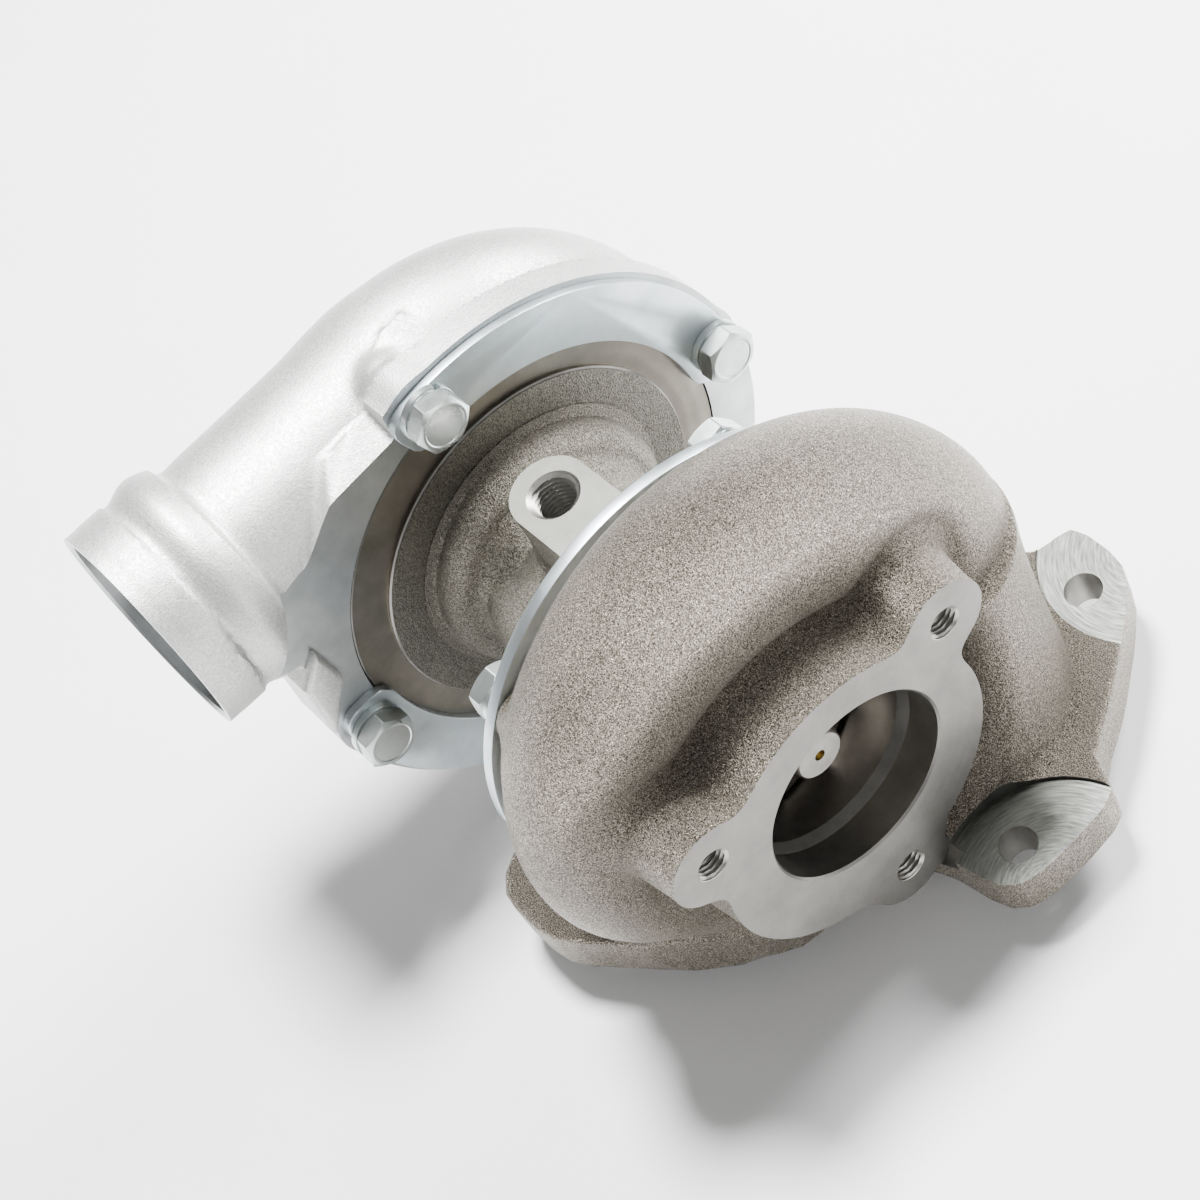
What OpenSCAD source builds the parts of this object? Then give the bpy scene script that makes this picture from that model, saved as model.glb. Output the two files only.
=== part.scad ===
// Small diesel turbocharger with a journal-bearing rotor and no wastegate.
// Cast-iron turbine housing, cast-iron bearing housing and cast-aluminium compressor housing.
// Frame: origin at the centre of the turbine outlet flange face, +X out of that outlet
// along the rotor axis, +Z up out of the oil inlet. The compressor outlet points along -Y.

/* [Turbine housing] */
// Turbine outlet bore diameter
outlet_bore_d = 48; // [40:0.5:56]
// Turbine outlet bolt circle diameter
outlet_pcd = 81.9; // [70:0.1:96]
// Turbine outlet flange thickness
outlet_flange_t = 9; // [6:0.5:14]
// Height of the turbine inlet face below the rotor axis
inlet_face_drop = 58; // [54:1:70]
// Turbine inlet flange thickness
inlet_flange_t = 12; // [8:1:16]
// Turbine inlet flange stud hole diameter
inlet_hole_d = 9.5; // [8.5:0.1:11]
// Turbine inlet long hole spacing
inlet_long = 67.7; // [60:0.1:72]
// Turbine inlet short hole spacing
inlet_short = 54; // [46:0.1:60]
// Turbine volute wall thickness
turbine_wall = 4.5; // [3.5:0.1:6]

/* [Bearing housing] */
// Height of the oil inlet face above the rotor axis
oil_face_z = 41.6; // [36:0.1:48]
// Oil inlet thread minor diameter
oil_thread_d = 10.4; // [8:0.1:14]
// Depth of the oil drain face below the rotor axis
drain_drop = 42; // [38:0.5:50]
// Oil drain hole diameter
drain_d = 16; // [12:0.5:20]
// Oil drain bolt spacing
drain_spacing = 40; // [34:0.5:48]
// Outside diameter of the backplate rim
backplate_d = 109.2; // [100:0.1:120]

/* [Rotor] */
// Turbine wheel inducer diameter
turbine_wheel_d = 54; // [48:0.5:60]
// Compressor wheel outside diameter
compressor_wheel_d = 60; // [54:0.5:66]
// Compressor wheel inducer diameter
inducer_d = 44; // [38:0.5:50]
// Journal diameter
journal_d = 9; // [8:0.1:11]
// Compressor-end shaft diameter
stub_shaft_d = 6; // [5:0.1:7]
// Running clearance on the radius of each bearing film
film = 0.04; // [0.02:0.01:0.08]

/* [Compressor housing] */
// Compressor outlet outside diameter
comp_outlet_d = 57; // [48:0.5:64]
// Compressor inlet outside diameter
comp_inlet_d = 60; // [50:0.5:70]
// Compressor housing wall thickness
comp_wall = 4; // [3:0.1:5]
// Compressor clamp bolt circle diameter
comp_pcd = 122; // [110:0.5:130]

/* [Hidden] */
$fn = 96;
eps = 0.01;

// stations along the rotor axis
shroud_x = -12.3;
throat_front = -31;
throat_back = -38.2;
rear_face = -52.5;
clamp_x = -55;
clamp_t = 3;
cover_face = -112.8;
plate_t = 2.5;
back_face = -118;
diffuser_back = -122;
cover_end = -176;

// turbine housing
outlet_r = outlet_bore_d / 2;
outlet_bolt_r = outlet_pcd / 2;
outlet_clock = 31.8;
throat_r = 22.7;
tapped_r = 3.4;
spot_face_r = 9;
t_scroll_x = -31;
t_span = 330;
t_step = 30;
t_cavity_back = -43;
t_cavity_front = -14;
cheek_r = 38.5;
rim_r = 57;
register_r = 44.05;
t_bolt_r = 50;
t_bolt_clock = 51.6;
inlet_turn = -59.5;
inlet_cx = -27.3;
inlet_cy = 37;
face_z = -inlet_face_drop;
flange_top = face_z + inlet_flange_t;
spot_face_z = flange_top - 0.3;

// bearing housing
bush_bore_r = 7.04;
oil_x = -83.3;
boss_r = 9.8;
drain_x = -83;
backplate_r = backplate_d / 2;

// rotor
wheel_gap = 0.4;
journal_r = journal_d / 2;
stub_r = stub_shaft_d / 2;
collar_bore = stub_r + 0.02;
t_tip = turbine_wheel_d / 2;
t_eye = throat_r - wheel_gap;
c_tip = compressor_wheel_d / 2;
c_eye = inducer_d / 2;

// compressor housing
rim_cover_r = 68;
c_bolt_r = comp_pcd / 2;
c_bolt_clock = 6.6;
pipe_r = comp_outlet_d / 2;
pipe_tilt = 2.6;
pipe_end = [-137, -83.8, 42.8];
inlet_r = comp_inlet_d / 2;

// bolts
shank_r = 4;
bolt_hole_r = 4.05;
head_h = 5.3;
head_r = 7.5;
spring_t = 2;

// Stand a shape whose axis is local Z on the rotor axis; local X becomes +Y.
module on_axis() { rotate([90, 0, 90]) children(); }

// Solid of revolution about the rotor axis from [radius, x] points.
module turned(points) { on_axis() rotate_extrude() polygon(points); }

// Cylinder along the rotor axis between two stations.
module rod(r, x0, x1) { on_axis() translate([0, 0, x0]) cylinder(r = r, h = x1 - x0); }

// Ring along the rotor axis between two stations.
module ring(r_out, r_in, x0, x1) {
    difference() {
        rod(r_out, x0, x1);
        rod(r_in, x0 - 1, x1 + 1);
    }
}

// Put a shape at an angle from +Y towards +Z, at a radius from the rotor axis.
module around(angle, r) { rotate([angle, 0, 0]) translate([0, r, 0]) children(); }

// Four equal places on a bolt circle.
module four(clock, r) { for (i = [0 : 3]) around(clock + 90 * i, r) children(); }

// One piece of scroll tube: centre radius, tube radius, centre station, angles.
module scroll_piece(rc, rt, x, a0, da) {
    rotate([a0, 0, 0]) on_axis() rotate_extrude(angle = da) translate([rc, x]) circle(r = rt);
}

// Sector of a flat ring along the rotor axis.
module sector(r_out, r_in, x0, x1, a0, da) {
    rotate([a0, 0, 0]) on_axis() rotate_extrude(angle = da)
        translate([r_in, x0]) square([r_out - r_in, x1 - x0]);
}

// Hexagon bolt along -X, with the underside of its head at station 0.
module hex_bolt(length) {
    on_axis() {
        translate([0, 0, -length]) cylinder(r = shank_r, h = length + eps);
        intersection() {
            cylinder(r = head_r, h = head_h, $fn = 6);
            translate([0, 0, -1]) cylinder(r1 = head_r + 6.3, r2 = head_r - 1, h = head_h + 1);
        }
    }
}

// Split spring washer standing on station 0.
module spring_washer() {
    difference() {
        ring(7, bolt_hole_r + 0.05, 0.02, spring_t - 0.02);
        translate([-1, 3, -0.5]) rotate([25, 0, 0]) cube([spring_t + 2, 6, 1]);
    }
}

// ---- turbine housing ----

// Outer radius and tube radius of the turbine scroll at an angle past the inlet.
function t_outer(a) = 73.5 - 26 * pow(a / t_span, 2.2);
function t_tube(a) = 25 - 15 * pow(a / t_span, 1.5);

module turbine_scroll(shrink) {
    for (a = [0 : t_step : t_span - t_step])
        let (m = a + t_step / 2, rt = t_tube(m))
            scroll_piece(t_outer(m) - rt, rt - shrink, t_scroll_x, a - 0.2, t_step + 0.4);
}

module slab(x0, x1) { translate([x0, -120, -120]) cube([x1 - x0, 240, 240]); }

module outlet_outline() {
    offset(r = -8, $fn = 48) offset(delta = 8) {
        translate([1, -2.5]) circle(r = 36);
        for (i = [0 : 2])
            rotate(outlet_clock + 120 * i) translate([outlet_bolt_r, 0]) circle(r = 10.8);
    }
}

module inlet_outline() {
    offset(r = 4, $fn = 32) offset(delta = -4) polygon([[-37, 92], [-17, 92], [-9, 81.5],
        [12, 48], [23, 46.5], [23, 18], [18, 11], [-4, 9.5], [-14, -4], [-14, -27],
        [-50, -63], [-57, -67], [-77, -67], [-84, -58], [-84, -42], [-52, -38], [-48, -30],
        [-48, 31], [-52, 39], [-80, 42], [-80, 62], [-52, 72], [-37, 80]]);
}

// The four inlet flange bolt places, in the plane of the flange.
module inlet_places(list) {
    translate([inlet_cx, inlet_cy, 0]) rotate([0, 0, inlet_turn])
        for (p = list) translate([p[0] * inlet_long / 2, p[1] * inlet_short / 2, 0]) children();
}

module inlet_duct(r_top, r_low, z_low, inset) {
    hull() {
        translate([t_scroll_x, t_outer(0) - t_tube(0), -0.5]) cylinder(r = r_top, h = 1, $fn = 32);
        translate([inlet_cx, inlet_cy, z_low]) rotate([0, 0, inlet_turn])
            linear_extrude(height = 1) offset(r = r_low, $fn = 32)
                square([inlet_long - inset, inlet_short - inset], center = true);
    }
}

module foot_web() {
    hull() {
        translate([-56, -61, face_z + 4]) cylinder(r = 5, h = 4, $fn = 32);
        translate([-70, -56, face_z + 4]) cylinder(r = 5, h = 4, $fn = 32);
        translate([-24, -28, face_z + 4]) cylinder(r = 7, h = 4, $fn = 32);
        around(188, 50) translate([-32, 0, 0]) rotate([0, 90, 0]) cylinder(r = 13, h = 14, $fn = 32);
        around(225, 40) translate([-42, 0, 0]) rotate([0, 90, 0]) cylinder(r = 12, h = 28, $fn = 32);
    }
}

module turbine_housing() {
    color("#6f6963") difference() {
        union() {
            on_axis() translate([0, 0, -outlet_flange_t]) linear_extrude(height = outlet_flange_t)
                outlet_outline();
            on_axis() translate([0, 0, -24]) linear_extrude(height = 24 - outlet_flange_t + eps)
                offset(delta = -1.2) outlet_outline();
            intersection() {
                turbine_scroll(0);
                slab(rear_face, -5);
            }
            rod(34, -44, -20);
            rod(rim_r, rear_face, -42);
            four(t_bolt_clock, t_bolt_r) rod(7.2, clamp_x, -44);
            intersection() {
                inlet_duct(t_tube(0), 6, flange_top - 2, 14);
                slab(rear_face, -2);
            }
            translate([0, 0, face_z]) linear_extrude(height = inlet_flange_t) inlet_outline();
            intersection() {
                foot_web();
                slab(rear_face, -8);
            }
        }
        // outlet bore, shroud contour and wheel chamber
        turned([[0, 1], [outlet_r, 1], [outlet_r, -9.6], [throat_r, shroud_x], [throat_r, -21],
            [23.3, -25], [25, -28.5], [t_tip + wheel_gap, throat_front], [46, throat_front],
            [46, throat_back], [35.3, throat_back], [35.3, -45.1], [37.2, -45.1], [37.2, -47],
            [0, -47]]);
        rod(register_r, -56, -46.99);
        intersection() {
            union() {
                turbine_scroll(turbine_wall);
                inlet_duct(t_tube(0) - turbine_wall, 6, face_z - 0.5, 29);
            }
            difference() {
                slab(t_cavity_back, t_cavity_front);
                rod(cheek_r, -60, 0);
                inlet_places([[1, -1]]) translate([0, 0, face_z]) cylinder(r = 7, h = 12);
            }
        }
        // nothing reaches below the inlet flange face
        translate([-120, -120, face_z - 20]) cube([240, 240, 20]);
        // bolting
        for (i = [0 : 2]) around(outlet_clock + 120 * i, outlet_bolt_r) rod(tapped_r, -13, 1);
        inlet_places([[-1, 1], [1, 1], [-1, -1]])
            {
                translate([0, 0, face_z - 1]) cylinder(r = inlet_hole_d / 2, h = inlet_flange_t + 20);
                translate([0, 0, spot_face_z]) cylinder(r = spot_face_r, h = 20);
            }
        inlet_places([[1, -1]]) translate([0, 0, face_z - 1]) cylinder(r = tapped_r, h = 9);
        four(t_bolt_clock, t_bolt_r) rod(bolt_hole_r, -56, -45.2);
    }
}

module turbine_clamp_plates() {
    color("#b9c0c4") difference() {
        for (a = [7.5, 187.5]) sector(57.5, 41, clamp_x - clamp_t, clamp_x, a, 175);
        four(t_bolt_clock, t_bolt_r) rod(bolt_hole_r + 0.25, -60, -50);
    }
}

module turbine_clamp_bolts() {
    color("#aeb6ba") four(t_bolt_clock, t_bolt_r)
        translate([clamp_x - clamp_t - spring_t, 0, 0]) rotate([0, 180, 0]) hex_bolt(14);
}

module turbine_spring_washers() {
    color("#a2aaae") four(t_bolt_clock, t_bolt_r)
        translate([clamp_x - clamp_t - spring_t, 0, 0]) spring_washer();
}

module heat_shield() {
    color("#8b8177") turned([[9.6, -39.6], [30, -39.6], [34, -42], [34.6, -45.2], [36.9, -45.2],
        [36.9, -46.9], [33.4, -46.9], [32.8, -43], [29.6, -40.8], [9.6, -40.8]]);
}

// ---- bearing housing ----

module bearing_body() {
    turned([[0, -41.6], [13, -41.6], [13, -47.2], [44, -47.2], [44, clamp_x], [40.4, clamp_x],
        [40.4, -59.5], [34, -64], [28, -67], [25.5, -71], [25, -98], [26.5, -102.5], [30, -104.5],
        [31.5, -108], [33.5, -110.3], [43.6, -111.2], [44.4, -112], [44.4, cover_face],
        [backplate_r, cover_face], [backplate_r, back_face], [0, back_face]]);
    // oil inlet boss
    translate([oil_x - 2, 0, 0]) cylinder(r = boss_r, h = oil_face_z);
    translate([oil_x - 2, -boss_r, 0]) cube([20, 2 * boss_r, oil_face_z]);
    // oil drain boss and flange
    translate([drain_x, 0, -drain_drop]) cylinder(r = 13.5, h = 30);
    translate([drain_x, 0, -drain_drop]) {
        for (s = [-1, 1]) translate([0, s * drain_spacing / 2, 0]) cylinder(r = 8.5, h = 9);
        translate([-8.5, -drain_spacing / 2, 0]) cube([17, drain_spacing, 9]);
    }
}

module oil_passages() {
    // inlet thread, feed drilling and gallery
    translate([oil_x, 0, 27]) cylinder(r = oil_thread_d / 2, h = 30);
    translate([oil_x, 0, oil_face_z - 1.9]) cylinder(r1 = oil_thread_d / 2, r2 = 7.15, h = 1.95);
    translate([oil_x, 0, 10]) cylinder(r = 2, h = 18);
    translate([0, 0, 11.5]) rod(1.75, -99.5, -63);
    for (x = [-64.5, -91.5]) translate([x, 0, 5]) cylinder(r = 1.5, h = 7);
}

module bearing_housing() {
    color("#4d4842") difference() {
        bearing_body();
        rod(bush_bore_r, -97.5, -50);
        rod(8.55, -50.5, -41);
        rod(15, -57.5, -50.2);
        rod(11, -99.45, -97);
        rod(17.45, -102.25, -99.4);
        rod(24.05, -119, -102.2);
        rod(25.3, -116.75, -115.65);
        ring(60, 52.4, -117.2, -114.4);
        for (x = [-59.75, -70.35, -86.75]) rod(7.8, x, x + 1.1);
        // drain gallery under the bearings and the hole in the drain face
        translate([-101, -9, -21]) cube([45, 18, 9.5]);
        translate([-104, -9, -21]) cube([4, 18, 12]);
        translate([drain_x, 0, -drain_drop - 1]) cylinder(r = drain_d / 2, h = 28);
        for (s = [-1, 1]) translate([drain_x, s * drain_spacing / 2, -drain_drop - 1])
            cylinder(r = tapped_r, h = 9.2);
        oil_passages();
        for (s = [-1, 1]) around(90 + s * 30, 14.2) rod(1.5, -101, -95.4);
    }
}

module bearing_retaining_rings() {
    color("#8f8a84") for (x = [-59.7, -70.3, -86.7]) difference() {
        ring(7.75, 5.5, x, x + 1);
        translate([x - 1, -1.5, -9]) cube([3, 3, 6]);
    }
}

module bush(x) {
    difference() {
        ring(bush_bore_r - film, journal_r + film, x, x + 9);
        for (i = [0 : 2]) rotate([60 * i, 0, 0]) translate([x + 4.5, 0, -8])
            cylinder(r = 1, h = 16);
    }
}

module turbine_bush() { color("#b08d4f") bush(-69); }

module compressor_bush() { color("#b08d4f") bush(-96); }

module thrust_bearing() {
    color("#b5934f") difference() {
        ring(17.4, 5.9, -102.15, -99.5);
        for (i = [0 : 2]) around(30 + 120 * i, 9.5) rod(0.8, -103, -98);
        for (s = [-1, 1]) around(90 + s * 30, 14.2) rod(1.52, -103, -98);
        translate([-103, -7, -18]) cube([4, 14, 6]);
    }
}

module thrust_bearing_pins() {
    color("#9a9a98") for (s = [-1, 1]) around(90 + s * 30, 14.2) rod(1.48, -101.9, -95.5);
}

module oil_deflector() {
    color("#a9a49c") difference() {
        turned([[7.6, -105], [14, -105], [15.5, -102.25], [23.9, -102.25], [23.9, -105.85],
            [21.2, -105.85], [21.2, -103.2], [16.2, -103.2], [14.8, -105.8], [7.6, -105.8]]);
        translate([-107, -8, -25]) cube([5, 16, 8]);
    }
}

module seal_plate() {
    color("#8c8882") difference() {
        rod(24, -115.6, -105.9);
        rod(6.5, -118, -100);
        difference() {
            rod(20, -110.5, -100);
            rod(9, -112, -99);
        }
        ring(26, 22.2, -112.9, -110.9);
    }
}

module seal_plate_o_ring() {
    color("#1c1b1a") on_axis() rotate_extrude() translate([23.12, -111.9]) circle(r = 0.9, $fn = 32);
}

module seal_plate_snap_ring() {
    color("#8a8a8a") difference() {
        ring(25.2, 21.5, -116.7, -115.7);
        translate([-119, -4, -27]) cube([4, 8, 8]);
    }
}

module split_ring(r_out, r_in, x0, x1) {
    difference() {
        ring(r_out, r_in, x0, x1);
        translate([x0 - 1, -0.2, 0]) cube([x1 - x0 + 2, 0.4, r_out + 1]);
    }
}

module turbine_seal_ring() { color("#77726c") split_ring(8.53, 7.05, -45.35, -43.65); }

module compressor_seal_ring() { color("#77726c") split_ring(6.48, 5.1, -112.35, -111.15); }

// ---- rotor ----

// Straight-cut blades twisted about the rotor axis, trimmed later by a turned envelope.
module blade_star(count, x0, x1, a0, a1, t, r) {
    on_axis() translate([0, 0, x0])
        linear_extrude(height = x1 - x0, twist = a0 - a1, slices = 5, $fn = 12)
            rotate(a0) for (i = [0 : count - 1]) rotate(i * 360 / count)
                translate([2, -t / 2]) square([r - 2, t]);
}

module turbine_wheel() {
    color("#7d756c") union() {
        difference() {
            turned([[0, -12.3], [6.2, -12.3], [6.6, -13], [7, -20], [8.5, -26], [12, -32],
                [18, -36], [24, -37.6], [25, -38.4], [9, -38.6], [9, -39.9], [0, -39.9]]);
            on_axis() translate([0, 0, -15.3]) cylinder(r1 = 0, r2 = 1.6, h = 3.2);
        }
        intersection() {
            turned([[5, -38.2], [t_tip, -38.2], [t_tip, -31.2], [24.7, -29], [23, -25.5],
                [t_eye, -24.6], [6, -21]]);
            union() {
                blade_star(11, -38.4, -29.9, 0, 3, 1.3, 40);
                blade_star(11, -30, -22.4, 3, 14, 1.3, 40);
                blade_star(11, -22.5, -19, 14, 24, 1.2, 40);
            }
        }
    }
}

module rotor_shaft() {
    color("#9b9893") difference() {
        union() {
            rod(8.45, -49.6, -39.95);
            turned([[0, -49.6], [7, -49.6], [journal_r, -51], [journal_r, -97.2], [0, -97.2]]);
            rod(stub_r, -153, -97.1);
        }
        ring(12, 6.95, -45.45, -43.55);
        ring(8, 4.2, -85.2, -71);
    }
}

module thrust_collar() {
    color("#94918c") turned([[collar_bore, -97.3], [9, -97.3], [9, -99.3], [5.6, -99.3],
        [5.6, -102.3], [collar_bore, -102.3]]);
}

module flinger_sleeve() {
    color("#94918c") turned([[collar_bore, -102.35], [9, -102.35], [9, -103.2], [7, -104.6],
        [6.4, -105], [6.4, -111], [5, -111], [5, -112.5], [6.4, -112.5], [6.4, -118.45],
        [collar_bore, -118.45]]);
}

module compressor_wheel() {
    color("#c9ccce") difference() {
        union() {
            turned([[0, -118.5], [c_tip, -118.5], [c_tip, -119.3], [22, -120.6], [15, -124],
                [10.5, -131], [8.6, -139], [8, -146], [0, -146]]);
            intersection() {
                turned([[6, -119], [c_tip, -119], [c_tip, -121.6], [26.2, -122.6],
                    [23.8, -126], [22.5, -131], [c_eye, -136], [c_eye, -143], [6, -143]]);
                union() {
                    blade_star(6, -143.5, -134.9, 52, 26, 0.9, 34);
                    blade_star(12, -135, -126.9, 26, 10, 0.9, 34);
                    blade_star(12, -127, -118.8, 10, 0, 0.9, 34);
                }
            }
        }
        rod(collar_bore, -147, -110);
    }
}

module compressor_nut() {
    color("#8f8d8a") difference() {
        on_axis() union() {
            translate([0, 0, -150.6]) cylinder(r = 5.2, h = 4.5, $fn = 6);
            translate([0, 0, -147]) cylinder(r = 5.6, h = 0.9);
        }
        rod(collar_bore, -152, -140);
    }
}

// ---- compressor housing ----

c_start = -190;
c_span = 290;
c_step = 29;

// Tube radius and outer radius of the compressor scroll at an angle past its tongue.
function c_tube(a) = 10.5 + 14 * pow(a / c_span, 1.1);
function c_outer(a) = 54 + 16.5 * pow(a / c_span, 1.1);
function c_x(rt) = cover_face - rt - 0.7;

module compressor_scroll(shrink) {
    for (i = [0 : 9])
        let (m = (i + 0.5) * c_step, rt = c_tube(m))
            scroll_piece(c_outer(m) - rt, rt - shrink, c_x(rt), c_start + i * c_step - 0.2,
                c_step + 0.4);
}

// Stand a shape on the compressor outlet axis, local Z pointing out of the outlet.
module on_outlet() {
    translate(pipe_end) rotate([90 - pipe_tilt, 0, 0]) children();
}

module outlet_duct(r_far, r_near) {
    hull() {
        on_outlet() translate([0, 0, -29.2]) cylinder(r = r_near, h = 1, $fn = 32);
        rotate([101, 0, 0]) on_axis() translate([c_outer(c_span) - 24.5, 0, c_x(24.5)])
            rotate([90, 0, 0]) cylinder(r = r_far, h = 1, center = true, $fn = 32);
    }
}

module outlet_pipe() {
    on_outlet() rotate_extrude() polygon([[0, 0], [pipe_r - 0.4, 0], [pipe_r, -0.4],
        [pipe_r, -8.4], [27.4, -10.8], [27.4, -13.4], [29.2, -16], [29.3, -20.5],
        [28, -25.5], [25.2, -29], [24.5, -31], [0, -31]]);
}

module compressor_housing() {
    color("#d3d5d4") difference() {
        union() {
            rod(rim_cover_r, -121, cover_face);
            compressor_scroll(0);
            outlet_duct(23.5, 24.2);
            outlet_pipe();
            turned([[0, -118], [46, -118], [46, -124], [34, -150], [inlet_r, -156],
                [inlet_r, cover_end + 0.6], [inlet_r - 0.6, cover_end], [0, cover_end]]);
            four(c_bolt_clock, c_bolt_r) rod(8, -131, -113.5);
        }
        // register for the backplate, diffuser, shroud contour and air inlet
        rod(54.8, back_face, -110);
        turned([[0, -117], [49.5, -117], [49.5, diffuser_back - 2], [44, diffuser_back - 2],
            [44, diffuser_back], [c_tip + 0.5, diffuser_back], [26.6, -123.1], [24.2, -126.3],
            [22.9, -131.2], [c_eye + wheel_gap, -136], [c_eye + wheel_gap, -148],
            [26.5, -160], [26.5, -180], [0, -180]]);
        difference() {
            compressor_scroll(comp_wall);
            rod(44, -126, -110);
            rod(80, -119.5, -110);
        }
        outlet_duct(19.6, 20.1);
        on_outlet() translate([0, 0, -30.5]) cylinder(r1 = 20.5, r2 = 25.8, h = 20);
        on_outlet() translate([0, 0, -10.6]) cylinder(r = 25.8, h = 12);
        four(c_bolt_clock, c_bolt_r) rod(bolt_hole_r, -128, -110);
    }
}

module housing_o_ring() {
    color("#1c1b1a") on_axis() rotate_extrude() translate([53.6, -115.8]) circle(r = 1.15, $fn = 32);
}

module compressor_clamp_plates() {
    color("#b9c0c4") difference() {
        for (a = [c_bolt_clock - 9, c_bolt_clock + 171])
            sector(66.5, 51.6, cover_face, cover_face + plate_t, a, 108);
        four(c_bolt_clock, c_bolt_r) rod(bolt_hole_r + 0.15, -115, -108);
    }
}

module compressor_clamp_bolts() {
    color("#aeb6ba") four(c_bolt_clock, c_bolt_r)
        translate([cover_face + plate_t + spring_t, 0, 0]) hex_bolt(18);
}

module compressor_spring_washers() {
    color("#a2aaae") four(c_bolt_clock, c_bolt_r)
        translate([cover_face + plate_t, 0, 0]) spring_washer();
}

turbine_housing();
turbine_clamp_plates();
turbine_clamp_bolts();
turbine_spring_washers();
heat_shield();
bearing_housing();
bearing_retaining_rings();
turbine_bush();
compressor_bush();
thrust_bearing();
thrust_bearing_pins();
oil_deflector();
seal_plate();
seal_plate_o_ring();
seal_plate_snap_ring();
turbine_seal_ring();
compressor_seal_ring();
turbine_wheel();
rotor_shaft();
thrust_collar();
flinger_sleeve();
compressor_wheel();
compressor_nut();
compressor_housing();
housing_o_ring();
compressor_clamp_plates();
compressor_clamp_bolts();
compressor_spring_washers();
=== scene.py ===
"""Small diesel turbocharger: cast housings, clamp plates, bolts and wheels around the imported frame.

Lengths are written in millimetres and multiplied by MM when a mesh is made. The rotor axis is X.
"""

import functools
import math

import bmesh
import bpy
import numpy as np
from mathutils import Matrix, Vector


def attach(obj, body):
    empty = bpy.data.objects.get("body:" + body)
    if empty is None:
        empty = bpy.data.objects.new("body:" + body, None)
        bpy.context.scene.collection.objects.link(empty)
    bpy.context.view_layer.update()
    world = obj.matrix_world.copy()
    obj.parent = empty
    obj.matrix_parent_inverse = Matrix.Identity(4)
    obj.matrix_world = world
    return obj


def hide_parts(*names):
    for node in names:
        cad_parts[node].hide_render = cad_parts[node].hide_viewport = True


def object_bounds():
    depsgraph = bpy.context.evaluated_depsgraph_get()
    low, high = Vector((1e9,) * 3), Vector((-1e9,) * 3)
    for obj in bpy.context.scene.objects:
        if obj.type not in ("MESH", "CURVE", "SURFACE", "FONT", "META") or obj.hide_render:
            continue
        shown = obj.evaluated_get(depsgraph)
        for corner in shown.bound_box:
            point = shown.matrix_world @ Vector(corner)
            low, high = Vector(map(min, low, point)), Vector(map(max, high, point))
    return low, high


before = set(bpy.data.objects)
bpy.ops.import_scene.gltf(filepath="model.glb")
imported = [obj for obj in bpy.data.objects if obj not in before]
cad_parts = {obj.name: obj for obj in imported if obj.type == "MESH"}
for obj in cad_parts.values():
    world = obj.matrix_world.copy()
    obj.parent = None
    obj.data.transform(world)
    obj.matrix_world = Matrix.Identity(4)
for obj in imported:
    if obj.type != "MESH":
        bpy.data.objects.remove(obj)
CAD_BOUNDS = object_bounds()

MM = 0.001
CASING = "casing"
ROTOR = "rotor"
CAST_STEP = 1.0


# ---- camera, floor and lights

TARGET = Vector((-49.5, -12.7, 46.6)) * MM
CAMERA_DISTANCE = 600 * MM
CAMERA_AZIMUTH = math.radians(-13.8)
CAMERA_ELEVATION = math.radians(51.9)
CAMERA_ROLL = math.radians(-33.6)
LENS = 84.8


def view_axes():
    """The camera's right, up and backward directions."""
    back = Vector((math.cos(CAMERA_ELEVATION) * math.cos(CAMERA_AZIMUTH),
                   math.cos(CAMERA_ELEVATION) * math.sin(CAMERA_AZIMUTH),
                   math.sin(CAMERA_ELEVATION)))
    level_right = Vector((0, 0, 1)).cross(back).normalized()
    level_up = back.cross(level_right)
    right = level_right * math.cos(CAMERA_ROLL) + level_up * math.sin(CAMERA_ROLL)
    return right, back.cross(right), back


RIGHT, UP, BACK = view_axes()


def configure(thing, **settings):
    for key, value in settings.items():
        setattr(thing, key, value)


def add_object(name, data):
    thing = bpy.data.objects.new(name, data)
    bpy.context.scene.collection.objects.link(thing)
    return thing


def make_camera():
    data = bpy.data.cameras.new("camera")
    configure(data, lens=LENS, sensor_width=36, clip_start=0.01)
    camera = add_object("camera", data)
    rotation = Matrix((RIGHT, UP, BACK)).transposed().to_4x4()
    camera.matrix_world = Matrix.Translation(TARGET + BACK * CAMERA_DISTANCE) @ rotation
    bpy.context.scene.camera = camera


def area_light(name, across, up, toward, size, power):
    """A softbox placed by the camera's directions, aimed at the middle of the object."""
    data = bpy.data.lights.new(name, "AREA")
    configure(data, shape="DISK", size=size, energy=power)
    lamp = add_object(name, data)
    place = TARGET + RIGHT * across + UP * up + BACK * toward
    lamp.location = place
    lamp.rotation_euler = (TARGET - place).to_track_quat("-Z", "Y").to_euler()


def make_lights():
    area_light("key", -0.42, 0.8, 0.62, 0.3, 62)
    area_light("top", 0.35, 0.95, 0.2, 0.4, 32)
    area_light("fill", 0.8, -0.4, 0.6, 0.8, 9)
    world = bpy.data.worlds.new("studio")
    world.use_nodes = True
    background = world.node_tree.nodes["Background"]
    background.inputs["Color"].default_value = (1, 1, 1, 1)
    background.inputs["Strength"].default_value = 0.36
    bpy.context.scene.world = world


# ---- node materials

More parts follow.
